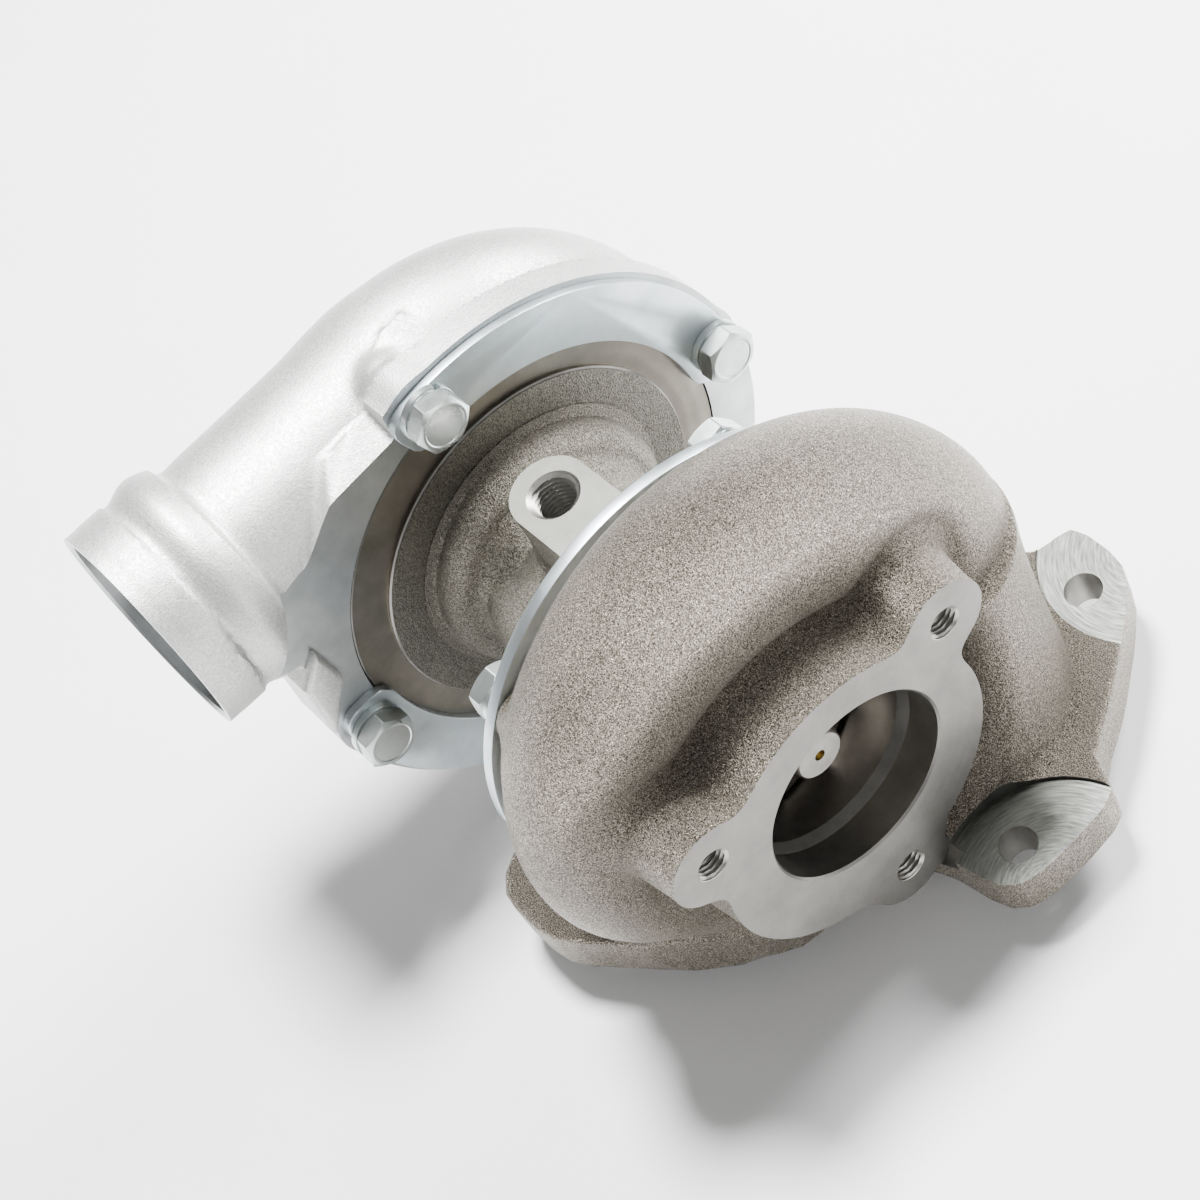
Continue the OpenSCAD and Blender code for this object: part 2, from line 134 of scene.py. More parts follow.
class Shader:
    """Builds one material, node by node."""

    def __init__(self, name, metallic):
        self.material = bpy.data.materials.new(name)
        self.material.use_nodes = True
        self.tree = self.material.node_tree
        self.surface = self.tree.nodes["Principled BSDF"]
        self.surface.inputs["Metallic"].default_value = metallic
        self.coords = self.add("ShaderNodeTexCoord").outputs["Object"]

    def add(self, kind, inputs=None, **settings):
        """A new node with its settings made and its inputs fed."""
        node = self.tree.nodes.new(kind)
        configure(node, **settings)
        for key, value in (inputs or {}).items():
            self.feed(value, node.inputs[key])
        return node

    def feed(self, value, socket):
        """Links an output to the socket, or sets it to a plain number or colour."""
        if hasattr(value, "links"):
            self.tree.links.new(value, socket)
        elif isinstance(value, (int, float)):
            socket.default_value = value
        else:
            socket.default_value = (*value, 1)

    def noise(self, size, detail=3.0, roughness=0.6, coords=None):
        """Noise whose grains are about `size` millimetres across."""
        inputs = {"Scale": 1 / (size * MM), "Detail": detail, "Roughness": roughness,
                  "Vector": coords or self.coords}
        return self.add("ShaderNodeTexNoise", inputs).outputs["Fac"]

    def mapped(self, setting, value):
        """The object's coordinates after a change of Scale or Location."""
        node = self.add("ShaderNodeMapping", {"Vector": self.coords})
        node.inputs[setting].default_value = value
        return node.outputs["Vector"]

    def ramp(self, value, *stops):
        """Colour ramp through (position, colour) pairs; a plain number makes a grey."""
        node = self.add("ShaderNodeValToRGB", {"Fac": value})
        elements = node.color_ramp.elements
        while len(elements) < len(stops):
            elements.new(0.5)
        for element, (place, colour) in zip(elements, stops):
            element.position = place
            shade = (colour,) * 3 if isinstance(colour, (int, float)) else colour
            element.color = (*shade, 1)
        return node.outputs["Color"]

    def mix(self, factor, one, two, mode="MIX"):
        inputs = {0: factor, 6: one, 7: two}
        return self.add("ShaderNodeMix", inputs, data_type="RGBA", blend_type=mode).outputs[2]

    def math(self, operation, one, two=0.0):
        return self.add("ShaderNodeMath", {0: one, 1: two}, operation=operation).outputs[0]

    def bump(self, height, depth, strength=1.0, below=None):
        """Bump whose full height range is `depth` millimetres."""
        inputs = {"Distance": depth * MM, "Strength": strength, "Height": height}
        if below is not None:
            inputs["Normal"] = below
        return self.add("ShaderNodeBump", inputs).outputs["Normal"]

    def finish(self, colour, rough, normal=None):
        """Feeds the surface and gives back the finished material."""
        for key, value in (("Base Color", colour), ("Roughness", rough), ("Normal", normal)):
            if value is not None:
                self.feed(value, self.surface.inputs[key])
        return self.material


def cast_material(name, dark, mid, light, grain, depth, metallic, rough):
    """Sand-cast metal: blasted grain, shallow lumps, a few pits and slow colour drift. The grain's colour
    also carries painted glints: its bright specks stand for highlights as well as grain tone.
    """
    s = Shader(name, metallic)
    fine = s.noise(grain, 2.0, 0.55)
    coarse = s.noise(grain * 2.2, 3.0, 0.6)
    # grain colour from dark to light specks: real grain tone, with the bright specks as painted glints
    grain_and_glints = s.ramp(s.mix(0.25, fine, coarse), (0.38, dark), (0.5, mid), (0.64, light))
    tone = s.ramp(s.noise(28, 4.0, 0.6), (0.3, 0.82), (0.7, 1.0))
    pits = s.ramp(s.noise(6.5, 1.0, 0.4), (0.17, 0.0), (0.23, 1.0))
    normal = s.bump(pits, depth * 1.2, 0.5)
    normal = s.bump(s.noise(9, 2.0), 0.3, 0.6, normal)
    normal = s.bump(coarse, depth * 0.9, 0.9, normal)
    normal = s.bump(fine, depth, 1.0, normal)
    return s.finish(s.mix(1.0, grain_and_glints, tone, "MULTIPLY"),
                    s.ramp(coarse, (0.3, rough + 0.12), (0.75, rough - 0.08)), normal)


def machined_material(name, colour, rough, ring_pitch=0.0, marks=0.02):
    """Milled or turned metal: fine grain, faint stains, and turning rings round the rotor axis."""
    s = Shader(name, 1.0)
    fine = s.noise(0.5, 3.0, 0.6)
    dull = tuple(c * 0.72 for c in colour)
    normal = s.bump(fine, 0.01, 0.35)
    if ring_pitch:
        inputs = {"Scale": 1 / (ring_pitch * MM * 20), "Distortion": 1.2, "Detail": 2.0,
                  "Detail Scale": 2.0, "Vector": s.coords}
        wave = s.add("ShaderNodeTexWave", inputs, wave_type="RINGS", rings_direction="X")
        normal = s.bump(wave.outputs["Fac"], marks, 0.5, normal)
    return s.finish(s.mix(s.ramp(s.noise(14, 5.0, 0.65), (0.35, 0.0), (0.7, 1.0)), dull, colour),
                    s.ramp(fine, (0.3, rough - 0.06), (0.75, rough + 0.1)), normal)


def milled_arcs(name, x, y):
    """A face-milled pad: fine arcs round the cutter's centre, uneven in depth and tone."""
    s = Shader(name, 1.0)
    split = s.add("ShaderNodeSeparateXYZ", {0: s.mapped("Location", (-x * MM, -y * MM, 0))})
    squares = [s.math("POWER", split.outputs[key], 2.0) for key in "XY"]
    turn = s.math("ARCTAN2", split.outputs["Y"], split.outputs["X"])
    polar_place = s.add("ShaderNodeCombineXYZ", {"X": s.math("SQRT", s.math("ADD", *squares)),
                                                 "Y": s.math("MULTIPLY", turn, 0.0016)})
    arcs = s.noise(0.5, 3.0, 0.6, polar_place.outputs["Vector"])
    tone = s.mix(s.ramp(arcs, (0.3, 0.0), (0.7, 1.0)), (0.065, 0.068, 0.062), (0.18, 0.184, 0.168))
    drift = s.ramp(s.noise(9, 3.0), (0.3, 0.85), (0.7, 1.0))
    return s.finish(s.mix(1.0, tone, drift, "MULTIPLY"), s.ramp(arcs, (0.3, 0.56), (0.7, 0.42)),
                    s.bump(arcs, 0.06, 0.8))


def plated_material(name, colour, tint, rough):
    """Zinc plating: bluish sheet with soft blotches, a faint grain and fine scratches."""
    s = Shader(name, 1.0)
    blotch = s.noise(11, 5.0, 0.6)
    normal = s.bump(s.noise(0.35, 2.0, 0.5), 0.012, 0.4)
    normal = s.bump(s.noise(1.2, 2.0, 0.5, s.mapped("Scale", (1.0, 0.08, 1.0))), 0.01, 0.25, normal)
    return s.finish(s.mix(s.ramp(blotch, (0.35, 0.0), (0.68, 1.0)), tint, colour),
                    s.ramp(blotch, (0.3, rough + 0.1), (0.7, rough - 0.05)), normal)


def plain_material(name, colour, rough, metallic=1.0):
    """Inner pieces: an even finish with a fine grain and a slow change of tone."""
    s = Shader(name, metallic)
    dull = tuple(c * 0.75 for c in colour)
    fine = s.noise(0.6, 3.0)
    return s.finish(s.mix(s.ramp(s.noise(6, 3.0), (0.35, 0.0), (0.65, 1.0)), dull, colour),
                    s.ramp(fine, (0.3, rough - 0.05), (0.7, rough + 0.08)), s.bump(fine, 0.02, 0.3))


IRON = cast_material("turbine_cast_iron", (0.04, 0.034, 0.026), (0.17, 0.15, 0.124),
                     (0.62, 0.56, 0.47), 0.28, 0.8, 1.0, 0.31)
DARK_IRON = cast_material("bearing_cast_iron", (0.07, 0.064, 0.05), (0.2, 0.186, 0.155),
                          (0.5, 0.465, 0.4), 0.3, 0.5, 1.0, 0.35)
ALLOY = cast_material("compressor_cast_alloy", (0.5, 0.5, 0.485), (0.64, 0.64, 0.625),
                      (0.76, 0.76, 0.75), 0.36, 0.07, 0.85, 0.46)
IRON_FACE = machined_material("milled_iron", (0.19, 0.184, 0.17), 0.42, 0.5)
# bores and taps: turned iron whose base colour is raised above the milled faces, a painted highlight on the
# bore walls over the turned finish
IRON_BORE = machined_material("turned_iron_painted_highlight", (0.36, 0.35, 0.325), 0.36, 0.35)
ALLOY_FACE = machined_material("turned_alloy", (0.56, 0.58, 0.585), 0.36)
ZINC = plated_material("zinc_sheet", (0.66, 0.72, 0.745), (0.52, 0.58, 0.61), 0.34)
BOLT_ZINC = plated_material("zinc_bolt", (0.68, 0.72, 0.72), (0.5, 0.54, 0.53), 0.28)
DARK_TURNED = machined_material("dark_turned_iron", (0.26, 0.24, 0.205), 0.34, 0.6, 0.03)
DARK_WEB = cast_material("dark_web_iron", (0.075, 0.07, 0.058), (0.17, 0.16, 0.135), (0.3, 0.285, 0.25),
                         0.42, 0.16, 1.0, 0.42)
WHEEL_ALLOY = machined_material("wheel_nickel", (0.33, 0.3, 0.27), 0.38, 0.3)
COMPRESSOR_ALLOY = machined_material("wheel_alloy", (0.74, 0.75, 0.76), 0.3, 0.3)
STEEL = machined_material("ground_steel", (0.5, 0.49, 0.48), 0.25, 0.2)
BRASS_TINT = plain_material("drilled_nose", (0.32, 0.25, 0.1), 0.3)
NOSE = plain_material("machined_nose", (0.3, 0.29, 0.27), 0.42)
BOSS_FACE = machined_material("machined_boss", (0.16, 0.16, 0.145), 0.48)
BRONZE = plain_material("bearing_bronze", (0.6, 0.42, 0.2), 0.32)
RUBBER = plain_material("black_rubber", (0.02, 0.02, 0.02), 0.6, 0.0)
SHEET_STEEL = plain_material("pressed_steel", (0.42, 0.39, 0.36), 0.4)


# ---- mesh helpers

def new_object(name, vertices, faces, materials):
    """A mesh object from points in millimetres."""
    mesh = bpy.data.meshes.new(name)
    mesh.from_pydata((np.asarray(vertices, dtype=float) * MM).tolist(), [], faces)
    mesh.update()
    for material in materials:
        mesh.materials.append(material)
    return add_object(name, mesh)


def apply_modifiers(thing):
    """Replaces the object's mesh by its evaluated one and drops its modifiers."""
    graph = bpy.context.evaluated_depsgraph_get()
    mesh = bpy.data.meshes.new_from_object(thing.evaluated_get(graph))
    thing.modifiers.clear()
    old = thing.data
    thing.data = mesh
    bpy.data.meshes.remove(old)


def boolean(thing, tools, operation="DIFFERENCE", solver="MANIFOLD"):
    """Cuts or joins tools, which are removed; their material shows where they touched."""
    for tool in tools:
        cut = thing.modifiers.new(tool.name, "BOOLEAN")
        configure(cut, object=tool, operation=operation, solver=solver, material_mode="TRANSFER")
    apply_modifiers(thing)
    for tool in tools:
        bpy.data.objects.remove(tool)


def smooth(thing, angle=32):
    """Smooth shading, with sharp edges at corners and wherever two materials meet."""
    mesh = thing.data
    mesh.polygons.foreach_set("use_smooth", [True] * len(mesh.polygons))
    mesh.set_sharp_from_angle(angle=math.radians(angle))
    work = bmesh.new()
    work.from_mesh(mesh)
    for edge in work.edges:
        if len({face.material_index for face in edge.link_faces}) > 1:
            edge.smooth = False
    work.to_mesh(mesh)
    work.free()


def bevel(thing, width, segments=2, angle=40):
    modifier = thing.modifiers.new("edge", "BEVEL")
    configure(modifier, width=width * MM, segments=segments, limit_method="ANGLE",
              angle_limit=math.radians(angle))
    apply_modifiers(thing)


def outward(thing):
    """Makes the faces of a closed mesh point out."""
    work = bmesh.new()
    work.from_mesh(thing.data)
    bmesh.ops.recalc_face_normals(work, faces=work.faces)
    work.to_mesh(thing.data)
    work.free()


def solid(name, points, faces, material):
    thing = new_object(name, points, faces, [material])
    outward(thing)
    return thing


def finish_piece(thing, node, body=CASING, angle=32):
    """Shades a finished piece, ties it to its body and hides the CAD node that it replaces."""
    smooth(thing, angle)
    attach(thing, body)
    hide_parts(node)


def on_axis(u, v, along):
    """Turns radial plane coordinates and a station into X, Y, Z with the axis along X."""
    return np.stack([along, u, v], axis=-1)


def placed(origin, direction):
    """The transform that moves the origin to a point and turns the X axis along a direction."""
    turn = Vector((1, 0, 0)).rotation_difference(Vector(direction))
    return Matrix.Translation(Vector(origin)) @ turn.to_matrix().to_4x4()


def loft(name, rows, material, ring=False):
    """A solid through equal rows of points, which close into a ring or end in flat caps."""
    count, n = len(rows), len(rows[0])
    faces = [] if ring else [tuple(range(n)), tuple(reversed(range((count - 1) * n, count * n)))]
    for i in range(count if ring else count - 1):
        following = (i + 1) % count
        for j in range(n):
            k = (j + 1) % n
            faces.append((i * n + j, i * n + k, following * n + k, following * n + j))
    return solid(name, np.reshape(rows, (-1, 3)), faces, material)


def prism(name, outline, x0, x1, material):
    """A straight prism along X over an outline of (y, z) points."""
    return loft(name, [[(x, y, z) for y, z in outline] for x in (x0, x1)], material)


def round_solid(name, rings, stations, material, place=None):
    """A solid about X through equal rings of points, closed by a point on the axis at each end."""
    count, segments = rings.shape[:2]
    points = np.vstack([rings.reshape(-1, 3), [[x, 0, 0] for x in stations]])
    if place is not None:
        points = np.array([place @ Vector(p) for p in points])
    first, last = len(points) - 2, len(points) - 1
    faces = []
    for j in range(segments):
        k = (j + 1) % segments
        faces.append((first, j, k))
        faces.append((last, (count - 1) * segments + k, (count - 1) * segments + j))
        for i in range(count - 1):
            faces.append((i * segments + j, (i + 1) * segments + j,
                          (i + 1) * segments + k, i * segments + k))
    return solid(name, points, faces, material)


def revolve(name, profile, material, segments=128, place=None):
    """A closed solid of revolution about X, from (radius, x) points; the ends lie on the axis."""
    radii, stations = np.array(profile, dtype=float).T
    turns = np.arange(segments) * 2 * math.pi / segments
    rings = on_axis(np.outer(radii[1:-1], np.cos(turns)), np.outer(radii[1:-1], np.sin(turns)),
                    np.repeat(stations[1:-1, None], segments, axis=1))
    return round_solid(name, rings, (stations[0], stations[-1]), material, place)


def ring_cutter(name, profile, material, segments=160):
    """A ring about X from a closed (radius, x) outline."""
    radii, stations = np.array(profile, dtype=float).T
    turns = np.radians(np.linspace(0, 360, segments + 1))[:-1]
    rows = on_axis(np.outer(np.cos(turns), radii), np.outer(np.sin(turns), radii),
                   np.repeat(stations[None, :], segments, axis=0))
    return loft(name, rows, material, ring=True)


def cylinder(name, radius, base, top, material, segments=96):
    """A straight round bar between two points."""
    span = Vector(top) - Vector(base)
    return revolve(name, [(0, 0), (radius, 0), (radius, span.length), (0, span.length)], material,
                   segments, placed(base, span))


M8_TAP = {"minor": 3.45, "major": 4.05, "pitch": 1.25, "sink": 0.5}
M12_FINE_TAP = {"minor": 5.0, "major": 6.1, "pitch": 1.5, "sink": 1.2}
ROWS_PER_PITCH = 10
TAP_SEGMENTS = 72


def threaded_cutter(name, base, top, minor, major, pitch, sink):
    """A tap: a bar whose radius follows a rounded V thread, with a countersink at its top."""
    span = Vector(top) - Vector(base)
    length = span.length
    stations = np.linspace(0, length, int(length / pitch * ROWS_PER_PITCH) + 1)[:, None]
    turns = np.arange(TAP_SEGMENTS) / TAP_SEGMENTS
    phase = (stations / pitch - turns[None, :]) % 1.0
    ridge = np.clip(1.25 - 2.5 * np.abs(phase - 0.5), 0, 1)
    radius = minor + (major - minor) * ridge
    lead = np.clip((length - stations) / sink, 0, 1)
    radius = np.maximum(radius, np.where(lead < 1, minor + (major + sink * 0.35 - minor) * (1 - lead), 0))
    radius = np.vstack([radius, np.full((1, TAP_SEGMENTS), major + sink)])
    along = np.repeat(np.vstack([stations, [[length + 1.0]]]), TAP_SEGMENTS, axis=1)
    angle = turns * 2 * math.pi
    rings = on_axis(radius * np.cos(angle), radius * np.sin(angle), along)
    return round_solid(name, rings, (-minor * 0.5, length + 1.0), IRON_BORE, placed(base, span))


def box(name, low, high, material):
    outline = [(low[1], low[2]), (high[1], low[2]), (high[1], high[2]), (low[1], high[2])]
    return prism(name, outline, low[0], high[0], material)


# ---- cast shapes as distance fields

def blend_union(a, b, k):
    h = np.clip(0.5 + 0.5 * (b - a) / k, 0, 1)
    return b * (1 - h) + a * h - k * h * (1 - h)


def blend_cut(a, b, k):
    """What is inside both a and b, with a rounded edge."""
    return -blend_union(-a, -b, k)


def polygon_distance(u, v, points):
    """Signed distance to a closed outline, negative inside."""
    best = None
    inside = None
    for (x0, y0), (x1, y1) in zip(points, points[1:] + points[:1]):
        dx, dy = x1 - x0, y1 - y0
        t = np.clip(((u - x0) * dx + (v - y0) * dy) / (dx * dx + dy * dy), 0, 1)
        d = (u - x0 - t * dx) ** 2 + (v - y0 - t * dy) ** 2
        best = d if best is None else np.minimum(best, d)
        if dy != 0:
            crossing = ((y0 > v) != (y1 > v)) & (u < x0 + (v - y0) * dx / dy)
            inside = crossing if inside is None else inside ^ crossing
    return np.where(inside, -1, 1) * np.sqrt(best)


def eased(points, cut):
    """The outline with each corner replaced by a short curve."""
    curve = []
    for i, corner in enumerate(points):
        before, after = Vector(points[i - 1]), Vector(points[(i + 1) % len(points)])
        corner = Vector(corner)
        start = corner + (before - corner) * min(cut / (before - corner).length, 0.45)
        finish = corner + (after - corner) * min(cut / (after - corner).length, 0.45)
        curve += [tuple(start), tuple((start + finish) / 4 + corner / 2), tuple(finish)]
    return curve


def blend_all(body, *additions):
    """Adds shapes in turn, each given with its own blend width."""
    for shape, width in additions:
        body = blend_union(body, shape, width)
    return body


def union(shapes):
    return functools.reduce(np.minimum, shapes)


def slab(value, low, high):
    return np.maximum(low - value, value - high)


def disc(u, v, centre, radius):
    return np.sqrt((u - centre[0]) ** 2 + (v - centre[1]) ** 2) - radius


def capsule(x, y, z, start, end, r0, r1):
    """Distance to a round bar that tapers from r0 to r1."""
    ax, ay, az = (e - s for s, e in zip(start, end))
    px, py, pz = x - start[0], y - start[1], z - start[2]
    t = np.clip((px * ax + py * ay + pz * az) / (ax * ax + ay * ay + az * az), 0, 1)
    return np.sqrt((px - t * ax) ** 2 + (py - t * ay) ** 2 + (pz - t * az) ** 2) - (r0 + (r1 - r0) * t)


def part_of(axis, part):
    """An index that takes part of one axis and the whole of the other two."""
    index = [slice(None)] * 3
    index[axis] = part
    return tuple(index)


def settle(values, step):
    """Closes the grid's border and flips the faintest corner of each grid face whose corners alternate."""
    values = values.copy()
    for axis in range(3):
        for end in (0, -1):
            values[part_of(axis, end)] = step
    flat = values.reshape(-1)
    stride = (values.shape[1] * values.shape[2], values.shape[2], 1)
    for _ in range(12):
        changed = False
        for a, b in ((0, 1), (0, 2), (1, 2)):
            inside = values < 0
            cut = [[slice(0, -1) if n in (a, b) else slice(None) for n in range(3)] for _ in range(4)]
            cut[1][a] = cut[2][a] = slice(1, None)
            cut[2][b] = cut[3][b] = slice(1, None)
            c0, c1, c2, c3 = (inside[tuple(c)] for c in cut)
            index = np.argwhere((c0 == c2) & (c1 == c3) & (c0 != c1))
            if not len(index):
                continue
            changed = True
            base = index @ np.array(stride)
            corners = base[:, None] + np.array([0, stride[a], stride[a] + stride[b], stride[b]])
            faint = corners[np.arange(len(base)), np.abs(flat[corners]).argmin(axis=1)]
            flat[faint] = np.where(flat[faint] < 0, 0.02, -0.02) * step
        if not changed:
            break
    return values


def surface(name, field, low, high, step, materials):
    """Meshes the zero surface of a distance field as quads, then moves points onto it."""
    axes = [np.arange(lo, hi + step, step, dtype=np.float32) for lo, hi in zip(low, high)]
    shape = tuple(len(a) for a in axes)
    values = field(axes[0][:, None, None], axes[1][None, :, None], axes[2][None, None, :])
    values = settle(np.broadcast_to(values, shape).astype(np.float32), step)
    inside = values < 0
    cells = (shape[0] - 1, shape[1] - 1, shape[2] - 1)
    all_cells, all_points, quads, flips = [], [], [], []
    for axis in range(3):
        near, far = part_of(axis, slice(0, -1)), part_of(axis, slice(1, None))
        crossing = inside[near] != inside[far]
        index = [c.astype(np.int64) for c in np.nonzero(crossing)]
        v0 = values[near][crossing]
        v1 = values[far][crossing]
        points = np.stack([axes[n][index[n]] for n in range(3)], axis=-1).astype(np.float64)
        points[:, axis] += v0 / (v0 - v1) * step
        others = [n for n in range(3) if n != axis]
        ring = []
        for du, dv in ((-1, -1), (0, -1), (0, 0), (-1, 0)):
            cell = list(index)
            cell[others[0]] = cell[others[0]] + du
            cell[others[1]] = cell[others[1]] + dv
            ring.append((cell[0] * cells[1] + cell[1]) * cells[2] + cell[2])
        all_cells.append(np.concatenate(ring))
        all_points.append(np.tile(points, (4, 1)))
        quads.append(np.stack(ring, axis=-1))
        flips.append((v0 < 0) != (axis == 1))
    ids, where = np.unique(np.concatenate(all_cells), return_inverse=True)
    points = np.concatenate(all_points)
    count = np.bincount(where, minlength=len(ids))
    places = np.stack([np.bincount(where, points[:, n], len(ids)) / count for n in range(3)], axis=-1)
    quads = np.searchsorted(ids, np.concatenate(quads))
    flip = np.concatenate(flips)
    quads[~flip] = quads[~flip][:, ::-1]
    reach = step * 0.25
    for _ in range(3):
        here = field(*places.T)
        slope = np.stack([(field(*(places + reach * row).T) - here) / reach for row in np.eye(3)], axis=-1)
        size = np.maximum((slope ** 2).sum(axis=-1), 0.2)
        move = -here[:, None] * slope / size[:, None]
        places += np.clip(move, -step * 0.35, step * 0.35)
    return new_object(name, places, quads.tolist(), materials)


def wave_table(angle, first, step, values):
    """Smooth curve through values given at even angles."""
    place = np.clip((angle - first) / step, 0, len(values) - 1.001)
    index = place.astype(int)
    t = place - index
    table = np.array([2 * values[0] - values[1]] + list(values) + [2 * values[-1] - values[-2]])
    p0, p1, p2, p3 = (table[index + n] for n in range(4))
    return p1 + 0.5 * t * (p2 - p0 + t * (2 * p0 - 5 * p1 + 4 * p2 - p3 + t * (3 * (p1 - p2) + p3 - p0)))


# ---- turbine housing

T_SCROLL_X = -31.0
T_SPAN = 330.0
T_OUTER = (73.0, 72.2, 71.0, 66.0, 58.0, 50.5, 46.0)
T_TUBE = (25.0, 24.2, 22.2, 18.8, 14.8, 11.2, 9.0)
T_WALL = 4.5
OUTLET_BOLT_R = 40.95
OUTLET_CLOCK = 31.8
FACE_Z = -58.0
FLANGE_TOP = -46.0
INLET_CENTRE = (-27.3, 37.0)
INLET_TURN = math.radians(-59.5)
INLET_LONG = 67.7
INLET_SHORT = 54.0
REAR_FACE = -52.5
T_CLAMP_X = -55.0
T_BOLT_R = 50.0
T_BOLT_CLOCK = 51.6
BOLT_HOLE = 4.05
OUTLET_MIDDLE = (-1.2, -3.2)
OUTLET_RADIUS = 37.2
MILL_CIRCLES = ((27, 19, 27.3), (-16.5, 97.5, 26.8))
MILL_MARKS = [milled_arcs(f"milled_tab_{i}", x, y) for i, (x, y, _) in enumerate(MILL_CIRCLES)]
FLANGE_OUTLINE = [(-37, 92), (-18, 91.5), (-9, 82), (4, 63.5), (12, 48), (21.6, 46), (22.7, 34), (22.4, 18),
                  (18, 11), (-4, 8), (-14, -4), (-14, -27), (-38, -53), (-57, -67), (-77, -67),
                  (-84, -58), (-84, -42), (-52, -38), (-48, -30), (-48, 31), (-52, 39), (-80, 42),
                  (-80, 62), (-52, 72), (-37, 80)]
FLANGE_CURVE = eased(FLANGE_OUTLINE, 6)


def around(clock, radius, count=4):
    """Evenly spaced (y, z) places round the rotor axis."""
    turns = [math.radians(clock + 360 / count * i) for i in range(count)]
    return [(radius * math.cos(turn), radius * math.sin(turn)) for turn in turns]


def drills(name, radius, places, x0, x1, material):
    """Round cutters along X, one at each (y, z) place."""
    return [cylinder(f"{name}_{i}", radius, (x0, y, z), (x1, y, z), material, 48)
            for i, (y, z) in enumerate(places)]


def scroll_distance(x, y, z, angle, span, outer, tube, centre_x, shrink, front=1.0):
    """Distance to a scroll whose tube changes with the angle. Its front side is flattened by `front`."""
    radius = np.sqrt(y * y + z * z)
    a = np.clip(angle, 0, span)
    rt = tube(a)
    rc = outer(a) - rt
    ahead = x - centre_x(rt)
    ahead = np.where(ahead > 0, ahead / front, ahead)
    body = np.sqrt(ahead ** 2 + (radius - rc) ** 2) - (rt - shrink)
    turn = np.radians(angle - a)
    gap = np.sqrt(np.maximum(radius * np.sin(np.clip(turn, 0, math.pi / 2)), 0) ** 2
                  + np.maximum(body + rt - shrink, 0) ** 2) - (rt - shrink)
    return np.where(angle > span, np.maximum(gap, body), body)


def turbine_scroll(x, y, z, shrink):
    angle = np.degrees(np.arctan2(z, y)) % 360
    return scroll_distance(x, y, z, angle, T_SPAN,
                           lambda a: wave_table(a, 0, T_SPAN / 6, T_OUTER),
                           lambda a: wave_table(a, 0, T_SPAN / 6, T_TUBE),
                           lambda rt: T_SCROLL_X, shrink, 0.82)


def inlet_duct(x, y, z, shrink):
    """The round duct that leans and widens from the scroll down to the inlet flange."""
    t = np.clip(-z / -FLANGE_TOP, 0, 1.3)
    middle_x = -31.2 + 3.2 * t
    middle_y = 48.0 - 10.8 * t
    radius = 24.7 + 7.5 * t ** 1.3 - shrink
    return np.maximum(disc(x, y, (middle_x, middle_y), radius) * 0.96, slab(z, FACE_Z - 2, 4))


def inlet_mouth(x, y, z):
    """The rounded oblong opening in the inlet flange, easing into the duct."""
    turn_x = (x - INLET_CENTRE[0]) * math.cos(INLET_TURN) + (y - INLET_CENTRE[1]) * math.sin(INLET_TURN)
    turn_y = -(x - INLET_CENTRE[0]) * math.sin(INLET_TURN) + (y - INLET_CENTRE[1]) * math.cos(INLET_TURN)
    corner = 8.0
    qx = np.abs(turn_x) - (25.0 - corner)
    qy = np.abs(turn_y) - (18.5 - corner)
    flat = np.sqrt(np.maximum(qx, 0) ** 2 + np.maximum(qy, 0) ** 2) + np.minimum(np.maximum(qx, qy), 0)
    return np.maximum(flat - corner, slab(z, -70, -40))


def outlet_outline(y, z):
    """The outlet flange's outline: a round middle with three bolt lobes."""
    lobes = [(disc(y, z, place, 10.8), 7.0) for place in around(OUTLET_CLOCK, OUTLET_BOLT_R, 3)]
    return blend_all(disc(y, z, OUTLET_MIDDLE, OUTLET_RADIUS), *lobes)


def turbine_cast(x, y, z):
    radius = np.sqrt(y * y + z * z)
    body = blend_union(turbine_scroll(x, y, z, 0), inlet_duct(x, y, z, 0), 2.0)
    lip = outlet_outline(y, z)
    middle = disc(y, z, OUTLET_MIDDLE, OUTLET_RADIUS)
    valley = np.minimum(np.maximum(middle - 5.5, -16 - x), np.maximum(lip - 4.0, -12.5 - x))
    body = blend_cut(body, -valley, 9.0)
    taper = -1.5 * np.clip((-x - 2) / 12, 0, 1) + 4 * np.clip((-x - 20) / 25, 0, 1)
    neck = np.maximum(lip + taper, slab(x, -46, 1.5))
    core = np.maximum(radius - 47, slab(x, REAR_FACE, -28))
    rear_rim = np.maximum(radius - 58, slab(x, REAR_FACE, -40))
    outline = polygon_distance(x, y, FLANGE_CURVE)
    plate = blend_cut(outline, slab(z, FACE_Z - 2, FLANGE_TOP + 1.2), 1.4)
    foot = blend_union(capsule(x, y, z, (-30, -40, -50), (-62, -54, -51), 9.0, 4.0),
                       capsule(x, y, z, (-34, -38, -38), (-24, -20, -44), 12.0, 11.0), 8.0)
    body = blend_all(body, (neck, 4.0), (core, 4.0), (rear_rim, 3.0), (plate, 2.5),
                     (np.maximum(foot, outline + 0.3), 7.0))
    body = np.minimum(blend_cut(body, REAR_FACE - x, 2.5), plate)
    bosses = union(np.maximum(disc(y, z, place, 7.6), slab(x, T_CLAMP_X - 1, -44))
                   for place in around(T_BOLT_CLOCK, T_BOLT_R))
    body = blend_union(body, bosses, 2.5)
    clamp_room = np.maximum(radius - 60, x + 54.9)
    hollow = np.minimum(turbine_scroll(x, y, z, T_WALL), inlet_duct(x, y, z, T_WALL + 6))
    hollow = blend_union(hollow, inlet_mouth(x, y, z), 6.0)
    hollow = blend_cut(hollow, slab(x, -43, -12), 3.0)
    hollow = np.maximum(np.maximum(hollow, 38.5 - radius), 5.0 - valley)
    return np.maximum(np.maximum(body, -clamp_room), -hollow)


